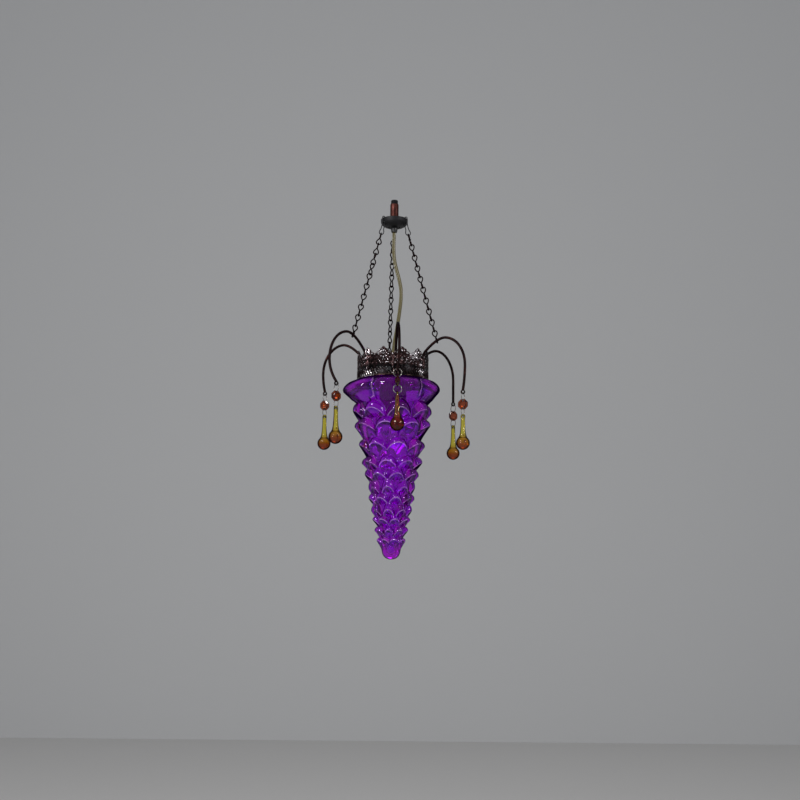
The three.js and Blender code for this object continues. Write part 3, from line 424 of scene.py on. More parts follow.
def out_at(azimuth):
    """Turns +X outwards at an azimuth, which is measured from the front towards +X."""
    return Matrix.Rotation(radians(azimuth - 90), 4, "Z")


def moved(x=0, y=0, z=0):
    return Matrix.Translation((x * MM, y * MM, z * MM))


def levels(node):
    """The lowest and the highest level of a solid, in millimetres."""
    low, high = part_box(node)
    return low[2] / MM, high[2] / MM


def middle_of(node):
    return sum(levels(node)) / 2


def within_one(share):
    return min(1.0, max(0.0, share))


print("collar from", levels("collar"))

# %% [markdown]
# Nearly every shape here is a bent wire or a turned profile. A curve with a bevel makes a better round wire
# than a hand-made tube, because it turns evenly round the bends. A profile is spun once round, like clay on
# a wheel.

# %% Wires and turned shapes
def wire(bm, points, thickness, closed=False, sides=8, place=None):
    curve = bpy.data.curves.new("wire", "CURVE")
    curve.dimensions = "3D"
    curve.bevel_depth = thickness / 2
    curve.bevel_resolution = sides // 2 - 2
    curve.use_fill_caps = not closed
    spline = curve.splines.new("POLY")
    spline.points.add(len(points) - 1)
    for knot, point in zip(spline.points, points):
        knot.co = (*point, 1)
    spline.use_cyclic_u = closed
    holder = bpy.data.objects.new("wire", curve)
    mesh = bpy.data.meshes.new_from_object(holder)
    if place:
        mesh.transform(place)
    bm.from_mesh(mesh)
    bpy.data.meshes.remove(mesh)
    bpy.data.objects.remove(holder)
    bpy.data.curves.remove(curve)
    return bm


def turned(outline, steps=48, closed=False, upright=True):
    """Spins (radius, height) points round the Z axis, or round Y for an eye or a ring."""
    bm = bmesh.new()
    places = [(r * MM, 0, h * MM) if upright else (r * MM, h * MM, 0) for r, h in outline]
    corners = [bm.verts.new(place) for place in places]
    pairs = zip(corners, corners[1:] + (corners[:1] if closed else []))
    edges = [bm.edges.new(pair) for pair in pairs]
    bmesh.ops.spin(
        bm,
        geom=corners + edges,
        cent=(0, 0, 0),
        axis=(0, 0, 1) if upright else (0, 1, 0),
        angle=2 * pi,
        steps=steps,
        use_merge=True,
        use_duplicate=False,
    )
    bmesh.ops.remove_doubles(bm, verts=bm.verts, dist=1e-6)
    return bm


print("wires and turned shapes can be made")

# %% [markdown]
# Holes are drilled as on the real pieces: a bar stands where the drill goes, and a boolean takes it out of
# the shape.

# %% Bars, blocks, bevels and drilled holes
def bar(bm, radius, length, place=None, sides=20):
    """A straight round bar along Z, which may be a shank or a drill."""
    place = place or Matrix()
    size = {"radius1": radius * MM, "radius2": radius * MM, "depth": length * MM}
    bmesh.ops.create_cone(bm, cap_ends=True, segments=sides, matrix=place, **size)
    return bm


def block(bm, width, depth, height, place):
    size = Matrix.Diagonal((width * MM, depth * MM, height * MM, 1))
    bmesh.ops.create_cube(bm, size=1, matrix=place @ size)
    return bm


def bevelled(bm, edges, offset, segments=2):
    settings = {"affect": "EDGES", "segments": segments, "profile": 0.5, "material": -1}
    bmesh.ops.bevel(bm, geom=edges, offset=offset * MM, **settings)


def cut(bm, cutters):
    """Takes other shapes out of a shape, with an exact boolean."""
    shapes = {"blank": bm, "tool": cutters}
    blank, tool = [bpy.data.objects.new(name, kept(name, shape)) for name, shape in shapes.items()]
    for made in (blank, tool):
        scene.collection.objects.link(made)
    step = blank.modifiers.new("cut", "BOOLEAN")
    step.operation = "DIFFERENCE"
    step.solver = "EXACT"
    step.object = tool
    depsgraph = bpy.context.evaluated_depsgraph_get()
    result = bmesh.new()
    result.from_mesh(blank.evaluated_get(depsgraph).to_mesh())
    for made in (blank, tool):
        bpy.data.objects.remove(made)
    return result


print("bars, blocks, bevels and holes can be made")

# %% [markdown]
# ## The lamp's sizes
#
# The solids give every level that we need. The arms are bent by hand, so each has its own height, reach and
# sway, the same as in the solids.

# %% Levels and arms
collar_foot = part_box("collar")[0][2]
HOOK_ON_RADIUS = 67 * MM
ARM_WIRE = 3.8 * MM
ARM_STAND = 35 * MM
ARM_INNER_BEND = 1.7
ARM_SHOULDER = 40 * MM
ARM_FOOT_RADIUS = 46.6 * MM
ARMS = [
    {"azimuth": 5, "rise": 66, "reach": 105, "eye": -1, "tuck": 0, "sway": -2, "drop": 53},
    {"azimuth": 65, "rise": 56, "reach": 109, "eye": -22, "tuck": 3, "sway": 0, "drop": 49},
    {"azimuth": 125, "rise": 52.6, "reach": 107, "eye": -22.4, "tuck": 0, "sway": 0, "drop": 50.5},
    {"azimuth": 185, "rise": 58.5, "reach": 106, "eye": -24, "tuck": 0, "sway": 0, "drop": 51},
    {"azimuth": 245, "rise": 58, "reach": 111.5, "eye": -11, "tuck": 3.5, "sway": 0, "drop": 51},
    {"azimuth": 305, "rise": 61, "reach": 104.5, "eye": -16, "tuck": 3, "sway": 14, "drop": 51.5},
]
for arm in ARMS:
    for key in ("rise", "reach", "eye", "tuck", "sway"):
        arm[key] *= MM


def arm_height(arm, radius):
    half = (arm["reach"] - ARM_FOOT_RADIUS) / 2
    middle = ARM_FOOT_RADIUS + half
    across = min(1.0, abs(radius - middle) / half)
    if radius < middle:
        fall = (arm["rise"] - ARM_STAND) * across**ARM_INNER_BEND
    else:
        fall = ARM_SHOULDER * (1 - math.sqrt(1 - across**2))
    return collar_foot + arm["rise"] - fall


def eye_place(arm):
    return Vector((arm["reach"] - arm["tuck"], arm["sway"], collar_foot + arm["eye"]))


print("collar foot", round(collar_foot, 4), "front eye", tuple(round(v, 4) for v in eye_place(ARMS[0])))

# %% [markdown]
# ## The cord
#
# The flex is a flat twin cord: two round wires moulded side by side in clear golden plastic. It is held at
# both ends and a little too long, so it bows to the right as it hangs. We draw its section once as a flat
# ring of vertices and extrude that ring along the route, turning it square to the route at each step.

# %% The cord's route
CORD_WIDTH = 5.1 * MM
CORD_THICKNESS = 2.8 * MM
grip_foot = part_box("cord_grip")[0][2]
nipple_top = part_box("bridge_nipple")[1][2]
cord_low, cord_high = (corner[2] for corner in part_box("pendant_cord"))
SLACK = [(0, 0, 0), (0.12, -0.4, -0.4), (0.2, 0.4, -1), (0.28, 3.4, -2.6), (0.36, 7.4, -4.6)]
SLACK += [(0.44, 10.3, -6), (0.51, 10.6, -6.4), (0.59, 9.2, -5.8), (0.67, 7.2, -4.4)]
SLACK += [(0.75, 4.8, -2.8), (0.82, 2.4, -1.2), (0.9, 0.8, -0.3), (1, 0, 0)]
fall = nipple_top - grip_foot
knots = [Vector((0, 0, cord_high))]
knots += [Vector((x * MM, y * MM, grip_foot + share * fall)) for share, x, y in SLACK]
knots += [Vector((0, 0, cord_low))]


def between(a, b, c, d, t):
    """A place on the smooth curve from b to c, which also heeds the points before and after."""
    bend = (2 * a - 5 * b + 4 * c - d) * t**2 + (3 * b - a - 3 * c + d) * t**3
    return 0.5 * (2 * b + (c - a) * t + bend)


def smooth_through(points, steps):
    ends = [points[0] * 2 - points[1], *points, points[-1] * 2 - points[-2]]
    path = []
    for corners in zip(ends, ends[1:], ends[2:], ends[3:]):
        path += [between(*corners, i / steps) for i in range(steps)]
    return [*path, points[-1].copy()]


cord_path = smooth_through(knots, 5)
cord_length = sum((b - a).length for a, b in zip(cord_path, cord_path[1:]))
print("cord length", round(cord_length, 4), "points", len(cord_path))

# %% The cord's section
def cord_section():
    """Two circles side by side, joined at a shallow waist."""
    half, radius = (CORD_WIDTH - CORD_THICKNESS) / 2, CORD_THICKNESS / 2
    angles = [radians(step * 22.5 * 0.93) for step in range(-6, 7)]
    return [(side * (half + cos(a) * radius), side * sin(a) * radius) for side in (1, -1) for a in angles]


def square_to(path, i):
    along = (path[min(i + 1, len(path) - 1)] - path[max(i - 1, 0)]).normalized()
    depth = along.cross(Vector((1, 0, 0))).normalized()
    across = depth.cross(along)
    turn = Matrix((across, depth, along)).transposed().to_4x4()
    return Matrix.Translation(path[i]) @ turn


def picked(kind, parts):
    return [part for part in parts if isinstance(part, kind)]


print("cord section", len(cord_section()), "points")

# %% Draw the cord out
stops = [(0.0, (0.105, 0.085, 0.022)), (1.0, (0.05, 0.04, 0.01))]
soft = {"detail": 2, "relief": (0.0001, 0.4), "Coat_Weight": 0.5}
golden_flex = simple_finish("golden_flex", (0.2, 0.15, 0.03), stops, 1400, 0.25, 0.15, **soft)
cord = bmesh.new()
ring = [cord.verts.new((x, y, 0)) for x, y in cord_section()]
edges = [cord.edges.new(pair) for pair in zip(ring, ring[1:] + ring[:1])]
bmesh.ops.transform(cord, matrix=square_to(cord_path, 0), verts=ring)
bmesh.ops.contextual_create(cord, geom=edges)
for i in range(1, len(cord_path)):
    grown = bmesh.ops.extrude_edge_only(cord, edges=edges)["geom"]
    edges = picked(bmesh.types.BMEdge, grown)
    move = square_to(cord_path, i) @ square_to(cord_path, i - 1).inverted()
    bmesh.ops.transform(cord, matrix=move, verts=picked(bmesh.types.BMVert, grown))
bmesh.ops.contextual_create(cord, geom=edges)
flex = finished("flat_cord", cord, golden_flex, None, "pendant_cord", smooth=60)
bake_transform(flex)
print("cord faces", len(flex.data.polygons))

# %% [markdown]
# ## The stem and the hub
#
# The stem is a thin copper tube over a threaded rod. The hub is a small cast dish with a rolled edge: we
# spin its outline and drill three holes for the hooks.

# %% Stem and threaded rod
THREAD_RADIUS, THREAD_BORE, THREAD_DEPTH = 5, 3.7, 0.45
low, high = levels("stem_tube")
side = [(5.3, low), (5.8, low), (6, low + 0.3), (6, high - 0.3), (5.8, high), (5.3, high)]
finished("stem", turned(side, closed=True), stem_copper, "hub", "stem_tube")


def threaded(node):
    """A hollow rod with a ring of thread on each millimetre, close enough to a true screw at this size."""
    low, high = levels(node)
    valley = THREAD_RADIUS - THREAD_DEPTH
    outline = [(THREAD_BORE, low)]
    for i in range(int(high - low)):
        foot = low + i
        outline += [(valley, foot + 0.05), (THREAD_RADIUS, foot + 0.4), (THREAD_RADIUS, foot + 0.6)]
    return turned(outline + [(valley, high), (THREAD_BORE, high)], steps=32, closed=True)


finished("stem_rod", threaded("threaded_rod"), iron, "hub", "threaded_rod", smooth=20)
print("stem from", round(low, 1), "to", round(high, 1), "mm")

# %% Hub bowl
hub_foot, hub_top = levels("hub_plate")
hub_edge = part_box("hub_plate")[1][0] / MM
RIM_WALL = 1.7
RIM_TOP = hub_top - 3.6
NUT_POCKET = 8.45
ROD_HOLE = 5.3
CROWN_REACH = RIM_WALL / 2 + 0.7 + 0.7
HOOK_AZIMUTHS = (65, 185, 305)
inner_edge = hub_edge - RIM_WALL
outside = [(NUT_POCKET, 0), (NUT_POCKET + 1, 0), (12.2, 0.7), (14.4, 1.5), (16.3, 2.6)]
outside += [(17.6, 3.7), (18.6, 5.3), (19.0, 6.6)]
rim = [(hub_edge - 0.1, -2.6), (hub_edge, -1.9), (hub_edge, -0.5), (hub_edge - 0.3, -0.1)]
rim += [(hub_edge - 0.8, 0), (inner_edge + 0.3, -0.1), (inner_edge, -0.5), (inner_edge, -3.4)]
inside = [(16.4, 5.5), (13.7, 3.9), (10.1, 3.4), (9.6, 8)]
neck = [(8.2, -5), (8, -0.6), (7.5, 0), (ROD_HOLE, 0)]
pocket = [(ROD_HOLE, 3.6), (NUT_POCKET, 3.6)]
stretches = [(hub_foot, outside), (RIM_TOP, rim), (hub_foot, inside), (hub_top, neck), (hub_foot, pocket)]
hub_outline = [(r, level + h) for level, points in stretches for r, h in points]
drill = bmesh.new()
for azimuth in HOOK_AZIMUTHS:
    hole = out_at(azimuth) @ moved(hub_edge - RIM_WALL / 2 - CROWN_REACH, 0, RIM_TOP - 10.9)
    bar(drill, 2.2, 15, Matrix.Translation(hole.translation))
dish = cut(turned(hub_outline, steps=64, closed=True), drill)
finished("hub_bowl", dish, iron, "hub", "hub_plate", smooth=35)
print("hub", round(hub_edge * 2, 2), "mm across")

# %% [markdown]
# One nut locks the rod in a pocket under the hub, and another stands on the bridge strap inside the collar.
# A plain nut needs no more than a six-sided bar with bevelled edges and a drilled bore.

# %% Lock nuts
def nut(node, body, material):
    low, high = levels(node)
    middle = moved(z=(low + high) / 2)
    blank = bar(bmesh.new(), 8.05, high - low, middle, sides=6)
    bevelled(blank, blank.edges[:], 0.35)
    bore = bar(bmesh.new(), 5.25, 4 * (high - low), middle, sides=32)
    return finished(f"{node}_nut", cut(blank, bore), material, body, node)


upper = nut("hub_lock_nut", "hub", iron)
lower = nut("bridge_nut", "lamp", arm_copper)
print("nuts", upper.name, lower.name)

# %% [markdown]
# The cord grip is a small moulded cup on the rod's end, with a clamping screw in its side that holds the
# cord. It is turned from one profile, and the screw's hole is then drilled through one side.

# %% Cord grip
low, high = levels("cord_grip")
shoulder = low + 6.4
side = [(2.85, low), (3.3, low), (3.7, low + 0.25), (4.2, low + 1.1), (4.55, low + 2.4), (4.7, low + 3.9)]
side += [(4.9, low + 5), (4.9, shoulder - 0.5), (4.6, shoulder), (3.4, shoulder), (3.4, high), (2.85, high)]
clamp_place = out_at(185) @ moved(3.2, 0, middle_of("grip_screw")) @ OUTWARDS
tapping = bar(bmesh.new(), 1.25, 6, clamp_place @ moved(z=2.5))
grip = cut(turned(side, steps=40, closed=True), tapping)
finished("grip_body", grip, bakelite, "hub", "cord_grip")
clamp = bar(bmesh.new(), 1, 3)
bevelled(clamp, clamp.edges[:], 0.12)
bmesh.ops.transform(clamp, matrix=clamp_place, verts=clamp.verts)
finished("grip_clamp", clamp, bakelite, "hub", "grip_screw")
print("grip", round(low, 2), "to", round(high, 2), "mm")

# %% [markdown]
# ## Chains and hooks
#
# The chains are jack chain. One piece of wire is bent into a figure of eight, and one loop is then twisted
# a quarter turn, so that each link hooks into the next one squarely. In the solids a chain is one piece.
# Here each link is its own closed wire, and it only touches its neighbours. Each link is turned by an angle
# of its own, and the first link of the right chain was never twisted, so it is flat. The hooks are pear-
# shaped loops over the hub's rim.

# %% Chain geometry
HOOK_WIRE = 1.4
HOOK_REACH, HOOK_DROP, HOOK_STRAIGHT = 4.35, 26, 9
HOOK_RADIUS = hub_edge - RIM_WALL / 2
LINK_WIRE = 1.8
LOOP_WIDTH = 8.6
LINKS = 10
CHAINS = [
    ("right", ARMS[1], [99, 9, 9, 9, 9, 9, 9, 9, 9, 9], 0),
    ("back", ARMS[3], [-62, -62, -62, -62, -62, -62, -62, -62, -45, -20], None),
    ("left", ARMS[5], [55, 58, 75, 110, 145, 145, 145, 145, 157, 170], None),
]


def closed_wire(bm, corners, thickness, place):
    """A closed wire through a few corners, with four steps from one to the next."""
    loop = [Vector(corner) * MM for corner in corners]
    path = smooth_through(loop[-2:] + loop + loop[:2], 4)[8:-9]
    return wire(bm, path, thickness * MM, closed=True, place=place)


def hook_corners():
    top, belly = 0.7 + 0.3 + HOOK_WIRE / 2, 3.7

    def side(out, down):
        return (HOOK_REACH * max(0, down - HOOK_STRAIGHT) / (HOOK_DROP - HOOK_STRAIGHT) + out, 0, -down)

    half = [(CROWN_REACH, HOOK_STRAIGHT), (CROWN_REACH, HOOK_DROP - 2.4 * belly)]
    half += [(belly, HOOK_DROP - 1.1 * belly), (belly * 0.7, HOOK_DROP - 0.25 * belly)]
    right = [(CROWN_REACH, 0, -2.8)] + [side(out, down) for out, down in half]
    left = [side(-out, down) for out, down in reversed(half)] + [(-CROWN_REACH, 0, -2.8)]
    crown = [(-0.82 * CROWN_REACH, 0, top - 0.9), (0, 0, top), (0.82 * CROWN_REACH, 0, top - 0.9)]
    return right + [side(0, HOOK_DROP)] + left + crown


def eight_corners(length, twisted):
    """A figure of eight. Its upper loop lies in the XZ plane, and its lower loop may be twisted out of it."""
    half = (LOOP_WIDTH - LINK_WIRE) / 2
    rise = [(0.62 * half, 0.22 * length), (half, 0.55 * length), (0.78 * half, 0.86 * length)]
    loop = rise + [(0, length)] + [(-x, z) for x, z in reversed(rise)]
    upper = [(x, 0, z) for x, z in loop]
    lower = [(0, x, -z) if twisted else (x, 0, -z) for x, z in loop]
    waist = Vector((0.36, -0.36, 0) if twisted else (0, -0.52, 0))
    return [tuple(waist * LINK_WIRE)] + upper + [tuple(-waist * LINK_WIRE)] + lower


print("hook corners", len(hook_corners()), "link corners", len(eight_corners(8, True)))

# %% Hang the hooks and chains
for name, arm, turns, flat_link in CHAINS:
    azimuth, body = out_at(arm["azimuth"]), f"chain_{name}"
    hook = closed_wire(bmesh.new(), hook_corners(), HOOK_WIRE, azimuth @ moved(HOOK_RADIUS, 0, RIM_TOP))
    finished(f"hook_{name}", hook, iron, body, f"chain_hook_{name}", smooth=60)
    foot = Vector((HOOK_RADIUS + HOOK_REACH, 0, RIM_TOP - HOOK_DROP)) * MM
    line = Vector((HOOK_ON_RADIUS, 0, arm_height(arm, HOOK_ON_RADIUS))) - foot
    hanging = azimuth @ Matrix.Translation(foot) @ Matrix.Rotation(-math.atan2(line.x, -line.z), 4, "Y")
    top = (HOOK_WIRE + LINK_WIRE) / 2 + 0.1
    end = -line.length / MM - (ARM_WIRE / MM + LINK_WIRE) / 2 - 0.7
    loop = (top - end + (LINKS - 1) * LINK_WIRE) / (2 * LINKS)
    links = bmesh.new()
    for i, turn in enumerate(turns):
        waist = top - loop - i * (2 * loop - LINK_WIRE)
        spot = hanging @ moved(z=waist) @ Matrix.Rotation(radians(turn), 4, "Z")
        closed_wire(links, eight_corners(loop, i != flat_link), LINK_WIRE, spot)
    finished(f"links_{name}", links, chain_copper, body, f"chain_{name}", smooth=60)
    print(name, "chain: each loop is", round(loop, 2), "mm long on its centreline")

# %% [markdown]
# ## Arms
#
# Each arm is a stiff wire: its foot stands inside the collar, it bends over, and its end is beaten into a
# small flat eye. The path repeats the solids' own sums, with more points.

# %% Arms and their eyes
ARM_STEPS, TAIL_STEPS = 16, 8
EYE = [(1.7, -0.9), (2.1, -1.3), (2.8, -1.3), (3.2, -0.8), (3.2, 0.8), (2.8, 1.3), (2.1, 1.3), (1.7, 0.9)]


def arm_points(arm):
    half = (arm["reach"] - ARM_FOOT_RADIUS) / 2
    shoulder = collar_foot + arm["rise"] - ARM_SHOULDER
    leg = shoulder - (collar_foot + arm["eye"] + 2.4 * MM)
    stand = collar_foot + ARM_STAND
    points = [Vector((ARM_FOOT_RADIUS, 0, stand - depth * MM)) for depth in (15, 9, 4.5, 1.5)]
    for i in range(2, ARM_STEPS + 1):
        radius = ARM_FOOT_RADIUS + half * (1 - cos(pi * i / ARM_STEPS))
        points.append(Vector((radius, 0, arm_height(arm, radius))))
    for i in range(1, TAIL_STEPS + 1):
        share = i / TAIL_STEPS
        out, aside = arm["reach"] - arm["tuck"] * share**2, arm["sway"] * share**2
        points.append(Vector((out, aside, shoulder - leg * share)))
    return smooth_through(points, 3)


for number, arm in enumerate(ARMS, 1):
    azimuth = out_at(arm["azimuth"])
    bm = wire(bmesh.new(), arm_points(arm), ARM_WIRE, sides=12, place=azimuth)
    eye = kept("eye", turned(EYE, 24, closed=True, upright=False))
    eye.transform(azimuth @ Matrix.Translation(eye_place(arm)))
    bm.from_mesh(eye)
    finished(f"bent_arm_{number}", bm, arm_copper, "lamp", f"arm_{number}", smooth=50)
print("arms", len(ARMS))

# %% [markdown]
# ## Beads and drops
#
# A string is ring, crystal, ring and drop. Each shape is made once at the origin, with +X outwards, and
# copied to its arm. The crystal is a flat octagon: a spun eight-sided blank, with its slanting edges
# bevelled into small facets and two holes drilled. It is shaded flat, so that every facet catches its own
# light.

# %% The ring and the crystal
CRYSTAL_HALF, CRYSTAL_DEPTH, GIRDLE_DEPTH = 7, 3.2, 1.7
THROUGH = 20


def ring_section(centre, radius, steps=8):
    angles = [2 * pi * i / steps for i in range(steps)]
    return [(centre + radius * cos(angle), radius * sin(angle)) for angle in angles]


def crystal_shape():
    corner = CRYSTAL_HALF / cos(pi / 8)
    side = [(3.0, CRYSTAL_DEPTH), (4.7, GIRDLE_DEPTH), (corner - 0.15, 1.1), (corner, 0.6)]
    outline = [(0, -CRYSTAL_DEPTH)] + [(r, -h) for r, h in side]
    outline += [(r, h) for r, h in reversed(side)] + [(0, CRYSTAL_DEPTH)]
    bm = turned(outline, 8, upright=False)
    bmesh.ops.rotate(bm, verts=bm.verts, matrix=Matrix.Rotation(pi / 8, 3, "Y"))
    bmesh.ops.dissolve_limit(bm, angle_limit=radians(1), verts=bm.verts, edges=bm.edges)
    slanting = []
    for edge in bm.edges:
        depths = sorted(round(abs(vert.co.y) / MM, 1) for vert in edge.verts)
        if depths == [GIRDLE_DEPTH, CRYSTAL_DEPTH]:
            slanting.append(edge)
    bevelled(bm, slanting, 0.7, segments=1)
    holes = bmesh.new()
    for height in (-5.2, 5.2):
        bar(holes, 1.2, THROUGH, moved(z=height) @ LYING, sides=16)
    return kept("crystal", cut(bm, holes))


ring_shape = kept("ring", turned(ring_section(5.45, 0.48), 32, closed=True, upright=False))
crystal_mesh = crystal_shape()
print("ring faces", len(ring_shape.polygons), "crystal faces", len(crystal_mesh.polygons))

# %% The glass drop
DROP_RADIUS, DROP_TOP = 9.44, 3.5
PINCH_FOOT, PINCH_HEIGHT, PINCH = -4, 3, 0.55


def drop_shape(length):
    """A spun drop. The neck's top is pinched flat towards the eye, and the eye's hole is drilled last."""
    low = DROP_TOP - length
    middle = low + DROP_RADIUS
    angles = [radians(angle) for angle in range(-84, 54, 6)]
    bulb = [(DROP_RADIUS * cos(angle), middle + DROP_RADIUS * sin(angle)) for angle in angles]
    taper = [(5.6, 8.2), (4.85, 10), (4.3, 12.1), (3.9, 14.5), (3.6, 17.2), (3.3, 20.5), (3.1, 24), (3, 27)]
    neck = [(r, middle + h) for r, h in taper]
    eye = [(2.95, -3.6), (3.1, -2.4), (3.4, -1), (3.45, 0.3), (3.1, 1.8), (2.2, 2.9), (1.1, 3.4)]
    eye.append((0, DROP_TOP))
    bm = turned([(0, low)] + bulb + neck + eye, 32)
    for vert in bm.verts:
        vert.co.y *= 1 - PINCH * within_one((vert.co.z / MM - PINCH_FOOT) / PINCH_HEIGHT)
    return kept("drop", cut(bm, bar(bmesh.new(), 1.5, THROUGH, LYING)))


print("drop", 2 * DROP_RADIUS, "mm across")

# %% Six strings
def copied(shape, name, material, node, place, smooth):
    bm = bmesh.new()
    bm.from_mesh(shape)
    bmesh.ops.transform(bm, matrix=place, verts=bm.verts)
    return finished(name, bm, material, node, node, smooth)


for number, arm in enumerate(ARMS, 1):
    spot = eye_place(arm)
    below_eye = out_at(arm["azimuth"]) @ Matrix.Translation((spot.x, spot.y, 0))
    for part in ("upper_ring", "lower_ring"):
        node = f"{part}_{number}"
        place = below_eye @ moved(z=middle_of(node)) @ QUARTER_TURN
        copied(ring_shape, f"{part}_wire_{number}", silver, node, place, 60)
    node = f"bead_{number}"
    place = below_eye @ moved(z=middle_of(node))
    copied(crystal_mesh, f"crystal_{number}", crystal, node, place, 0)
    node = f"drop_{number}"
    eye_level = levels(node)[1] - DROP_TOP
    shape, glass = drop_shape(arm["drop"]), red_amber if number == 1 else amber
    place = below_eye @ moved(z=eye_level)
    drop = copied(shape, f"glass_drop_{number}", glass, node, place, 50)
    shade = drop.data.attributes.new("amber", "FLOAT", "POINT")
    for vert, value in zip(drop.data.vertices, shade.data):
        value.value = within_one((eye_level - vert.co.z / MM) / arm["drop"])
print("strings", len(ARMS))

# %% [markdown]
# ## The glass shade
#
# The shade was pressed in a mould: a plain neck inside the collar, a brim with five soft lobes, then eleven
# rows of eight leaves down to a round tip. Each leaf has an arched upper edge that stands out like a lip,
# and fades back into the cone below. One spin gives the plain cone, and then every vertex is pushed out by
# the height of the leaf it belongs to. The inside stays smooth.

# %% The shade's sizes
CONE_TOP = (32.4, 47)
CONE_FOOT = (217, 13.8)
SEAT_RADIUS = 50
BRIM_RADIUS = 68.5
BRIM_LEAN = 2.2
BRIM_LIFT = 1.5
PETALS = 5
PETAL_AZIMUTH = 8
LEAVES = 8
LEAF_AZIMUTH = 12.3
# How far the leaf depth runs, which sets the width of the painted lip highlight and the painted shade under
# it.
PAINTED_BAND_REACH = 12
LEAF_ROWS = [(43.3, 11.2, 11), (63.3, 12.4, 8.5), (90.8, 10.3, 7.8), (115, 10.6, 8)]
LEAF_ROWS += [(131.9, 9.1, 8.1), (149.7, 6.8, 10.4), (164.6, 9.2, 7.5), (180.9, 8.4, 9.1)]
LEAF_ROWS += [(193.9, 8.6, 5.5), (208.3, 8.2, 6), (221.5, 6.4, 3.7)]


def cone_radius(down):
    share = (down - CONE_TOP[0]) / (CONE_FOOT[0] - CONE_TOP[0])
    return CONE_TOP[1] + share * (CONE_FOOT[1] - CONE_TOP[1])


def off_middle(azimuth, count):
    """0 in the middle of one of the petals or leaves round the shade, and 1 at its edges."""
    pitch = 360 / count
    turn = azimuth % pitch
    return 2 * min(turn, pitch - turn) / pitch


def leaf_bulge(azimuth, down):
    """How far the leaves stand out of the cone at a place, and how deep the place is in its leaf."""
    best, depth = 0.0, 1.0
    for row, (drop, out, above) in enumerate(LEAF_ROWS):
        off = off_middle(azimuth - LEAF_AZIMUTH - (row % 2) * 180 / LEAVES, LEAVES)
        last = row + 1 == len(LEAF_ROWS)
        below = above if last else LEAF_ROWS[row + 1][0] - LEAF_ROWS[row + 1][2] - drop
        edge = drop - above + off**2 * above * 1.3
        span = above + below + 2
        share = (down - edge) / span
        if share <= 0 or share >= 1:
            continue
        crest = above * 1.15 / span
        fall = (share - crest) / (1 - crest)
        if share < crest:
            tooth = math.sqrt(sin(pi / 2 * share / crest))
        else:
            tooth = math.sqrt(1 - fall**2) if last else 1 - fall
        bulge = out * tooth * math.sqrt(1 - off**1.4)
        if bulge > best:
            below_crest = (share - crest) * span
            # The depth places the painted highlight on each leaf's lip and the painted shade just under its
            # crest.
            best, depth = bulge, within_one((below_crest + PAINTED_BAND_REACH / 3) / PAINTED_BAND_REACH)
    return best, depth


def brim_share(azimuth):
    """The brim is creased between its five petals, and was drawn out a little towards the left."""
    off = off_middle(azimuth - PETAL_AZIMUTH, PETALS)
    share = 1 - 0.55 * off**4 - BRIM_LEAN / (BRIM_RADIUS - SEAT_RADIUS) * sin(radians(azimuth))
    # The second value marks the creases, where the purple glass paints a highlight line with painted shade
    # beside it.
    return share, min(1.0, 0.28 + (1 - off) / 0.4)


print("leaf rows", len(LEAF_ROWS), "bulge of the first", round(leaf_bulge(LEAF_AZIMUTH, 41.6)[0], 2), "mm")

# %% Spin the shade and press the leaves
WALL, INNER_TIP_RADIUS = 2.2, 13.7


def shade_outline():
    """Points of (radius, down) from the tip's middle up the outside, over the lip and down the inside."""
    tip = [(0, 248), (2.4, 247.9), (4.7, 247.4), (7.8, 246)]
    tip += [(10.2, 243.7), (11.8, 240.8), (12.7, 237.6), (13.3, 234)]
    heights = [228 - 1.14 * i for i in range(172)]
    side = [(max(cone_radius(down), INNER_TIP_RADIUS), down) for down in heights]
    brim = [(57, 27.5), (61.5, 22.8), (65.2, 19.3), (67.6, 16.8), (BRIM_RADIUS, 14.6), (68.3, 12.2)]
    brim += [(67, 9.6), (64.6, 6.8), (61.3, 4.3), (57.2, 2.6), (53, 1.7), (50, 1.3), (46, 1.3)]
    neck = [(46, -5), (46, -10.2), (46.4, -10.4), (47.4, -10.6), (47.5, -12), (47.2, -13.4), (46, -14)]
    inside = [(42.9, -14), (42.5, -13), (42.5, 0), (45, 3), (54, 7)]
    inside += [(60, 11), (61.5, 14.6), (59.5, 18.5), (54, 24.5)]
    inside += [(cone_radius(down) - WALL, down) for down in range(32, 217, 8)]
    inside += [(8.6, 219), (6.6, 222), (6, 228), (5.6, 234), (4.2, 238.6), (0, 240.4)]
    return tip + side + brim + neck + inside


def pressed(azimuth, radius, down):
    """Where the mould puts a point of the plain shade: its radius, its lift and its depth in a leaf."""
    new_radius, lift, depth = radius, 0, 1.0
    if 1.5 < down < CONE_TOP[0] and radius > SEAT_RADIUS:
        share, depth = brim_share(azimuth)
        new_radius = SEAT_RADIUS + (radius - SEAT_RADIUS) * share
        lift = BRIM_LIFT * sin(radians(azimuth)) * (radius - SEAT_RADIUS) / (BRIM_RADIUS - SEAT_RADIUS)
    if CONE_TOP[0] - 9 < down < 228.5 and radius > cone_radius(down) - 1.7:
        bulge, leaf_depth = leaf_bulge(azimuth, down)
        new_radius, depth = new_radius + bulge, min(depth, leaf_depth)
    return new_radius, lift, depth


glass = turned([(r, collar_foot / MM - down) for r, down in shade_outline()], 200)
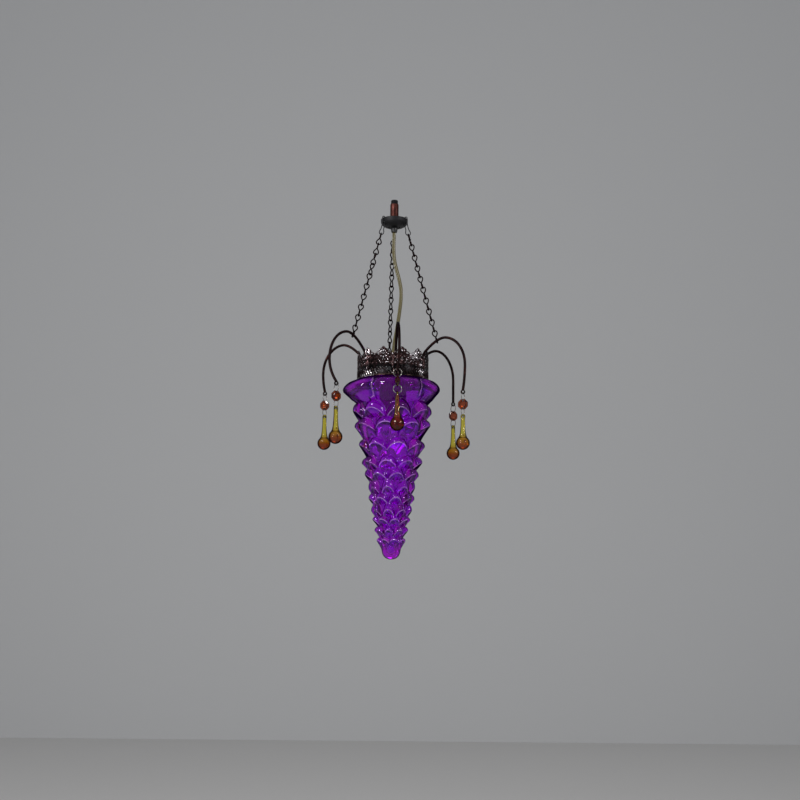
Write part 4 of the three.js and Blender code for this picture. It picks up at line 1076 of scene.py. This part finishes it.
# The purple glass reads this depth to paint highlights on the lips and shade under them.
depth_layer = glass.verts.layers.float.new("leaf_depth")
for vert in glass.verts:
    radius = math.hypot(vert.co.x, vert.co.y) / MM
    azimuth = math.degrees(math.atan2(vert.co.x, -vert.co.y))
    new_radius, lift, vert[depth_layer] = pressed(azimuth, radius, (collar_foot - vert.co.z) / MM)
    vert.co.z += lift * MM
    if radius > 1:
        vert.co.x *= new_radius / radius
        vert.co.y *= new_radius / radius
shade = finished("leaf_shade", glass, purple_glass, "lamp", "glass_shade", smooth=80)
print("shade faces", len(shade.data.polygons))

# %% [markdown]
# ## The collar
#
# The collar is stamped sheet: scrolls and beads stand on a thin wall with small openings, and twelve
# pointed finials crown it. We draw one panel flat, as wires and lumps, wrap it round the collar's radius
# and copy it twelve times.

# %% One flat panel of lace
COLLAR_RADIUS = 50.0
PANELS = 12
PANEL_WIDTH = 2 * pi * COLLAR_RADIUS / PANELS
VALLEY, FINIAL = 30.7, 40.7
LACE_SWELL = 1.25


def scroll(centre, start, end, turns, begin, steps=22):
    """A spiral of (across, height) points from one radius to another."""
    points = []
    for i in range(steps + 1):
        share = i / steps
        radius = start + (end - start) * share
        angle = radians(begin) + 2 * pi * turns * share
        points.append((centre[0] + radius * cos(angle), centre[1] + radius * sin(angle)))
    return points


def lace_lines():
    """The panel's wires, each as (points, thickness), for its right half. The left half is a mirror image."""
    edge = PANEL_WIDTH / 2
    crown = [(0, VALLEY - 1.5), (2.6, VALLEY + 1.2), (3.4, VALLEY + 4), (2.1, VALLEY + 7), (0, FINIAL - 0.9)]
    return [
        (crown, 1.6),
        (scroll((3.4, 26.4), 3.3, 0.9, 1.4, -90), 1.3),
        (scroll((9.2, 25.2), 3.2, 0.8, -1.45, -70), 1.3),
        (scroll((4.2, 18.2), 3.6, 0.9, 1.5, 90), 1.4),
        (scroll((10, 17.6), 3, 0.8, -1.3, 120), 1.3),
        ([(0, 12), (1.2, 15), (0.9, 19), (0, 22.6)], 1.3),
        ([(0, 22.6), (2, 24.6), (1.4, 28), (0, 30.4)], 1.2),
        ([(edge, 12), (edge - 1, 15.5), (edge - 0.9, 20.5), (edge, 24)], 1.3),
        ([(edge, 24), (edge - 1.2, 26.2), (edge - 0.8, 28.4), (edge, 30)], 1.2),
        ([(edge, 30.2), (edge - 2, 30.8), (edge - 3.6, 32.6), (edge - 5.4, 33)], 1.5),
        ([(edge - 5.4, 33), (5.6, 33.8), (4.2, 32.2), (2.6, 31.6)], 1.4),
        ([(5.6, 33.8), (6.1, 35.4), (5, 36.6), (3.6, 35.8)], 1.2),
        ([(0, 30.9), (edge / 2, 29.9), (edge, 30)], 1.2),
    ]


def lace_beads():
    """Round bosses on the panel's middle and right half, as (across, height, radius)."""
    edge = PANEL_WIDTH / 2
    beads = [(0, FINIAL - 1, 1), (0, 34.2, 1.5), (edge, 29.6, 1.2), (3.4, 26.4, 1.1), (9.2, 25.2, 1)]
    beads += [(4.2, 18.2, 1.2), (10, 17.6, 1), (0, 25.6, 0.9), (6.6, 21.8, 1), (6.9, 29.2, 0.9)]
    return beads + [(6.2, 35.4, 0.8), (0, 17.8, 0.8), (edge, 20, 0.9)]


print("panel width", round(PANEL_WIDTH, 2), "lines", len(lace_lines()), "beads", len(lace_beads()))

# %% Build the panel
def flat_wire(bm, points, thickness, out=0):
    wire(bm, [Vector((x, -out, z)) for x, z in points], thickness, sides=6)


def rounded(points):
    """A few corners made a smooth line. A scroll has enough points already."""
    if len(points) > 12:
        return points
    return [tuple(point) for point in smooth_through([Vector(point) for point in points], 3)]


def boss(bm, across, out, height, radius, flatness=1, subdivisions=2):
    """A round lump, pressed a little flatter towards the wall."""
    spot = Matrix.Translation((across, -out, height)) @ Matrix.Diagonal((1, flatness, 1, 1))
    bmesh.ops.create_icosphere(bm, subdivisions=subdivisions, radius=radius, matrix=spot)


def lace_panel():
    """One panel, flat in the XZ plane, in millimetres, with its front towards -Y."""
    bm = bmesh.new()
    for points, thickness in lace_lines():
        flat_wire(bm, rounded(points), thickness * LACE_SWELL)
    for across, height, radius in lace_beads():
        boss(bm, across, 0.35, height, radius, flatness=0.8)
    twin = bmesh.ops.duplicate(bm, geom=bm.verts[:] + bm.edges[:] + bm.faces[:])["geom"]
    bmesh.ops.scale(bm, vec=(-1, 1, 1), verts=picked(bmesh.types.BMVert, twin))
    bmesh.ops.reverse_faces(bm, faces=picked(bmesh.types.BMFace, twin))
    return bm


def foot_relief(bm):
    """Slanting scrolls on the foot, shoulder to shoulder, with a bead over each."""
    bend = [(1.3, 1.6), (1.6, 3.4), (0.4, 5.0), (-0.9, 6.4), (-1.3, 8.2), (-0.3, 9.6), (1.0, 9.2)]
    step = PANEL_WIDTH / 6
    for i in range(6):
        middle = -PANEL_WIDTH / 2 + step * (i + 0.5)
        flat_wire(bm, [(middle + x, z) for x, z in bend], 1.3, out=0.45)
        boss(bm, middle + 2.2, 0.4, 11.2, 0.9, subdivisions=1)
    return bm


def finial_plate(bm):
    """The solid middle of a finial, a small leaf that the wires and lumps stand on."""
    side = [(6, VALLEY - 3), (6.6, VALLEY), (6, VALLEY + 2.4), (4.8, VALLEY + 5.2), (3, VALLEY + 7.6)]
    outline = [(0, FINIAL - 0.4)] + [(-x, z) for x, z in reversed(side)] + side
    front = bm.faces.new([bm.verts.new((x, -0.35, z)) for x, z in outline])
    thick = bmesh.ops.extrude_face_region(bm, geom=[front])["geom"]
    bmesh.ops.translate(bm, vec=(0, 0.7, 0), verts=picked(bmesh.types.BMVert, thick))
    lumps = [(0, 8.4, 1.5), (1.8, 6, 1.4), (3.3, 3.4, 1.5), (4.6, 0.8, 1.4), (0, 3.6, 1.6)]
    for across, up, radius in lumps:
        for flip in (1, -1) if across else (1,):
            boss(bm, flip * across, 0.1, VALLEY + up, radius, flatness=0.6)
    return bm


panel = finial_plate(foot_relief(lace_panel()))
print("panel faces", len(panel.faces))

# %% Wrap and repeat the panel
for vert in panel.verts:
    angle = vert.co.x / COLLAR_RADIUS
    radius = COLLAR_RADIUS - 0.75 - 0.95 * vert.co.y
    vert.co = (radius * sin(angle) * MM, -radius * cos(angle) * MM, collar_foot + vert.co.z * MM)
panel_mesh = kept("panel", panel)
lace = bmesh.new()
for i in range(PANELS):
    panel_mesh.transform(Matrix.Rotation(radians(15 if i == 0 else 360 / PANELS), 4, "Z"))
    lace.from_mesh(panel_mesh)
print("lace faces", len(lace.faces))

# %% The wall behind the lace
SCREW_AZIMUTHS = (-5, 115, 235)
side = [(48.8, 0), (49.6, 0), (50, 0.5), (50, 1.5), (49.5, 2.1), (49.4, 12.3), (49.4, 29.5), (48.9, 29.5)]
gallery = turned([(r, collar_foot / MM + h) for r, h in side], 180, closed=True)
screw_level = middle_of("shade_screw_1")
drill = bmesh.new()
for azimuth in SCREW_AZIMUTHS:
    bar(drill, 1.75, 6, out_at(azimuth) @ moved(49.4, 0, screw_level) @ OUTWARDS)
for i in range(2 * PANELS):
    tall, wide = (4.6, 1.9) if i % 2 else (3.4, 1.4)
    spot = out_at(i * 15) @ moved(49.2, 0, collar_foot / MM + 20) @ OUTWARDS
    bar(drill, 1, 6, spot @ Matrix.Diagonal((tall, wide, 1, 1)))
lace.from_mesh(kept("gallery", cut(gallery, drill)))
print("collar faces", len(lace.faces))

# %% [markdown]
# The collar's copper is darker and more worn than the arms'. It is black in the sunk fields and brown on
# the raised wires, whose highest spots are painted near-white as painted highlights: the distance from the
# axis tells which is which. The side towards the key lamp is painted a little brighter, as painted light.

# %% The collar's copper
SUNK_RADIUS, RELIEF_GAIN = 0.0493, 1100


def collar_copper():
    finish = Finish("collar_copper", (0.05, 0.03, 0.025), Metallic=0.9)
    parts = finish.make("ShaderNodeSeparateXYZ", {"Vector": finish.places()}).socket.node.outputs
    x, y = Value(parts["X"]), Value(parts["Y"])
    square = x * x + y * y
    raised = (square.maths("POWER", square, 0.5) - SUNK_RADIUS) * RELIEF_GAIN
    grain = finish.noise(700, detail=2)
    cloud = finish.noise(38)
    black, brown, bright = (0.002, 0.0015, 0.002), (0.05, 0.024, 0.024), (0.95, 0.9, 0.94)
    # The near-white stop is a painted highlight on the raised spots.
    stops = [(0.67, black), (0.82, brown), (0.89, brown), (0.95, bright)]
    # Taking x away paints the side towards the key lamp brighter, which is painted light.
    finish.set("Base Color", finish.ramp(raised * 0.3 + grain * 0.45 + cloud * 0.7 - x * 0.9, stops))
    finish.set("Roughness", 0.1 + grain * 0.25)
    finish.bump(grain, 0.00025, 0.7)
    return finish.material


collar = finished("filigree_collar", lace, collar_copper(), "lamp", "collar", smooth=45)
print("collar faces", len(collar.data.polygons))

# %% [markdown]
# ## Screws, bridge and lampholder
#
# Three thumb screws pass through the collar's foot under the glass lip. Across the collar lies a strap, and
# from its nipple hangs the lampholder, a dark shape inside the glass.

# %% Thumb screws
SCREW = [(0, 46.3), (1.2, 46.3), (1.5, 46.7), (1.5, 50.3), (2.5, 50.3), (2.8, 50.6), (2.8, 51.1), (2.3, 51.7)]
for number, azimuth in enumerate(SCREW_AZIMUTHS, 1):
    slit = block(bmesh.new(), 0.7, 8, 1.1, moved(z=51.9))
    screw = cut(turned(SCREW + [(0, 51.7)], 24), slit)
    place = out_at(azimuth) @ moved(z=screw_level) @ OUTWARDS
    bmesh.ops.transform(screw, matrix=place, verts=screw.verts)
    finished(f"thumb_screw_{number}", screw, iron, "lamp", f"shade_screw_{number}")
print("screws at", round(screw_level, 1))

# %% Bridge and nipple
STRAP_LENGTH, STRAP_WIDTH = 96.2, 12
low, high = levels("lampholder_bridge")
across = out_at(95) @ moved(z=(low + high) / 2)
strap = block(bmesh.new(), STRAP_LENGTH, STRAP_WIDTH, high - low, across)
upright = [edge for edge in strap.edges if abs(edge.verts[0].co.z - edge.verts[1].co.z) > 1 * MM]
bevelled(strap, upright, 2.5, segments=5)
bevelled(strap, strap.edges[:], 0.25)
bore = bmesh.new()
for x, radius in ((0, ROD_HOLE), (24, 2), (-24, 2)):
    bar(bore, radius, THROUGH, across @ moved(x), sides=32)
finished("bridge_strap", cut(strap, bore), arm_copper, "lamp", "lampholder_bridge")
nipple = threaded("bridge_nipple")
finished("nipple_thread", nipple, arm_copper, "lamp", "bridge_nipple", smooth=20)
print("bridge from", round(low, 1), "to", round(high, 1))

# %% [markdown]
# The lampholder is a moulded cap and a shell with ribs for the hand. Both are round, so each is one spun
# profile.

# %% Lampholder
low, high = levels("lampholder_cap")
side = [(16.4, low), (17.7, low), (18, low + 0.4), (18, high - 6), (17.4, high - 4), (15.8, high - 2.3)]
side += [(13, high - 0.8), (9.6, high), (5.3, high), (5.3, high - 6), (11, high - 6), (16.4, high - 8)]
holder_cap = turned(side, 64, closed=True)
finished("holder_cap", holder_cap, bakelite, "lamp", "lampholder_cap")


def shell_outline():
    """A straight shell with a rolled mouth, and ribs where a hand turns it."""
    low, high = levels("lampholder_shell")
    outer = [(15.2, low), (17.5, low), (18, low + 0.5), (18, low + 3)]
    for i in range(9):
        foot = low + 5 + i * 2.4
        outer += [(18, foot), (17.6, foot + 0.5), (17.6, foot + 1), (18, foot + 1.5)]
    outer += [(18, high - 0.4), (17.6, high), (16.4, high)]
    return outer + [(16.4, low + 3), (15.2, low + 3)]


shell = turned(shell_outline(), 64, closed=True)
finished("holder_shell", shell, bakelite, "lamp", "lampholder_shell", smooth=30)
print("lampholder's cap from", round(low, 1), "to", round(high, 1))

# %% [markdown]
# The sleeve and the bulb's cap are thin brass with a rolled thread, which is a soft wave and not a cut
# groove. A true screw line would never be seen behind the glass, so a cosine in the profile gives the wave
# as rings.

# %% Screw sleeve and bulb cap
ROLLED_PITCH = 3.6


def rolled_thread(low, high, radius, depth):
    """The wavy side of a rolled thread, as (radius, height) points going up."""
    points = []
    steps = int((high - low) / ROLLED_PITCH * 6)
    for i in range(steps + 1):
        up = (high - low) * i / steps
        points.append((radius - depth * (0.5 - 0.5 * cos(2 * pi * up / ROLLED_PITCH)), low + up))
    return points


outer = rolled_thread(*levels("screw_sleeve"), 14.3, 0.5)
sleeve = turned(outer + [(r - 0.5, h) for r, h in reversed(outer)], 48, closed=True)
finished("sleeve_thread", sleeve, brass, "lamp", "screw_sleeve", smooth=60)
low, high = levels("bulb_cap")
side = [(11.8, low), (12.9, low), (13.1, low + 0.8)] + rolled_thread(low + 2, high - 6, 13.1, 0.8)
side += [(9, high - 3), (5, high - 1.5), (4.6, high), (0, high), (0, high - 3), (11.8, high - 8)]
bulb_cap = turned(side, 48, closed=True)
finished("bulb_cap_thread", bulb_cap, brass, "lamp", "bulb_cap", smooth=60)
print("sleeve points", len(outer), "bulb cap from", round(low, 1), "to", round(high, 1))

# %% [markdown]
# The bulb is a clear candle bulb. Its outline is spun once with its own wall, so light passes through two
# faces of glass, as in a real one. The last three pieces are the solids themselves, and only get a finish.

# %% Bulb
BULB_WALL = 0.8
foot, top = levels("bulb_glass")
candle = [(0, 0), (1.6, 0.5), (2.6, 1.8), (4.8, 6), (8, 11.5), (11.8, 18), (15.1, 26)]
candle += [(17, 33), (17.5, 38), (17.1, 43), (15.8, 50), (13.8, 57.5), (12, 63)]
candle = [(r, foot + h) for r, h in candle] + [(11.5, low), (11.5, top)]
inner = [(max(r - BULB_WALL, 0), h + (BULB_WALL if r < 3 else 0)) for r, h in reversed(candle)]
bulb = turned(candle + inner, 64)
finished("bulb_skin", bulb, clear_glass, "lamp", "bulb_glass", smooth=60)
for node, material in (("contact_block", porcelain), ("bulb_filament", porcelain), ("centre_contact", brass)):
    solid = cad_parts[node]
    solid.data.materials.clear()
    solid.data.materials.append(material)
print("bulb", round(top - foot, 1), "mm long")
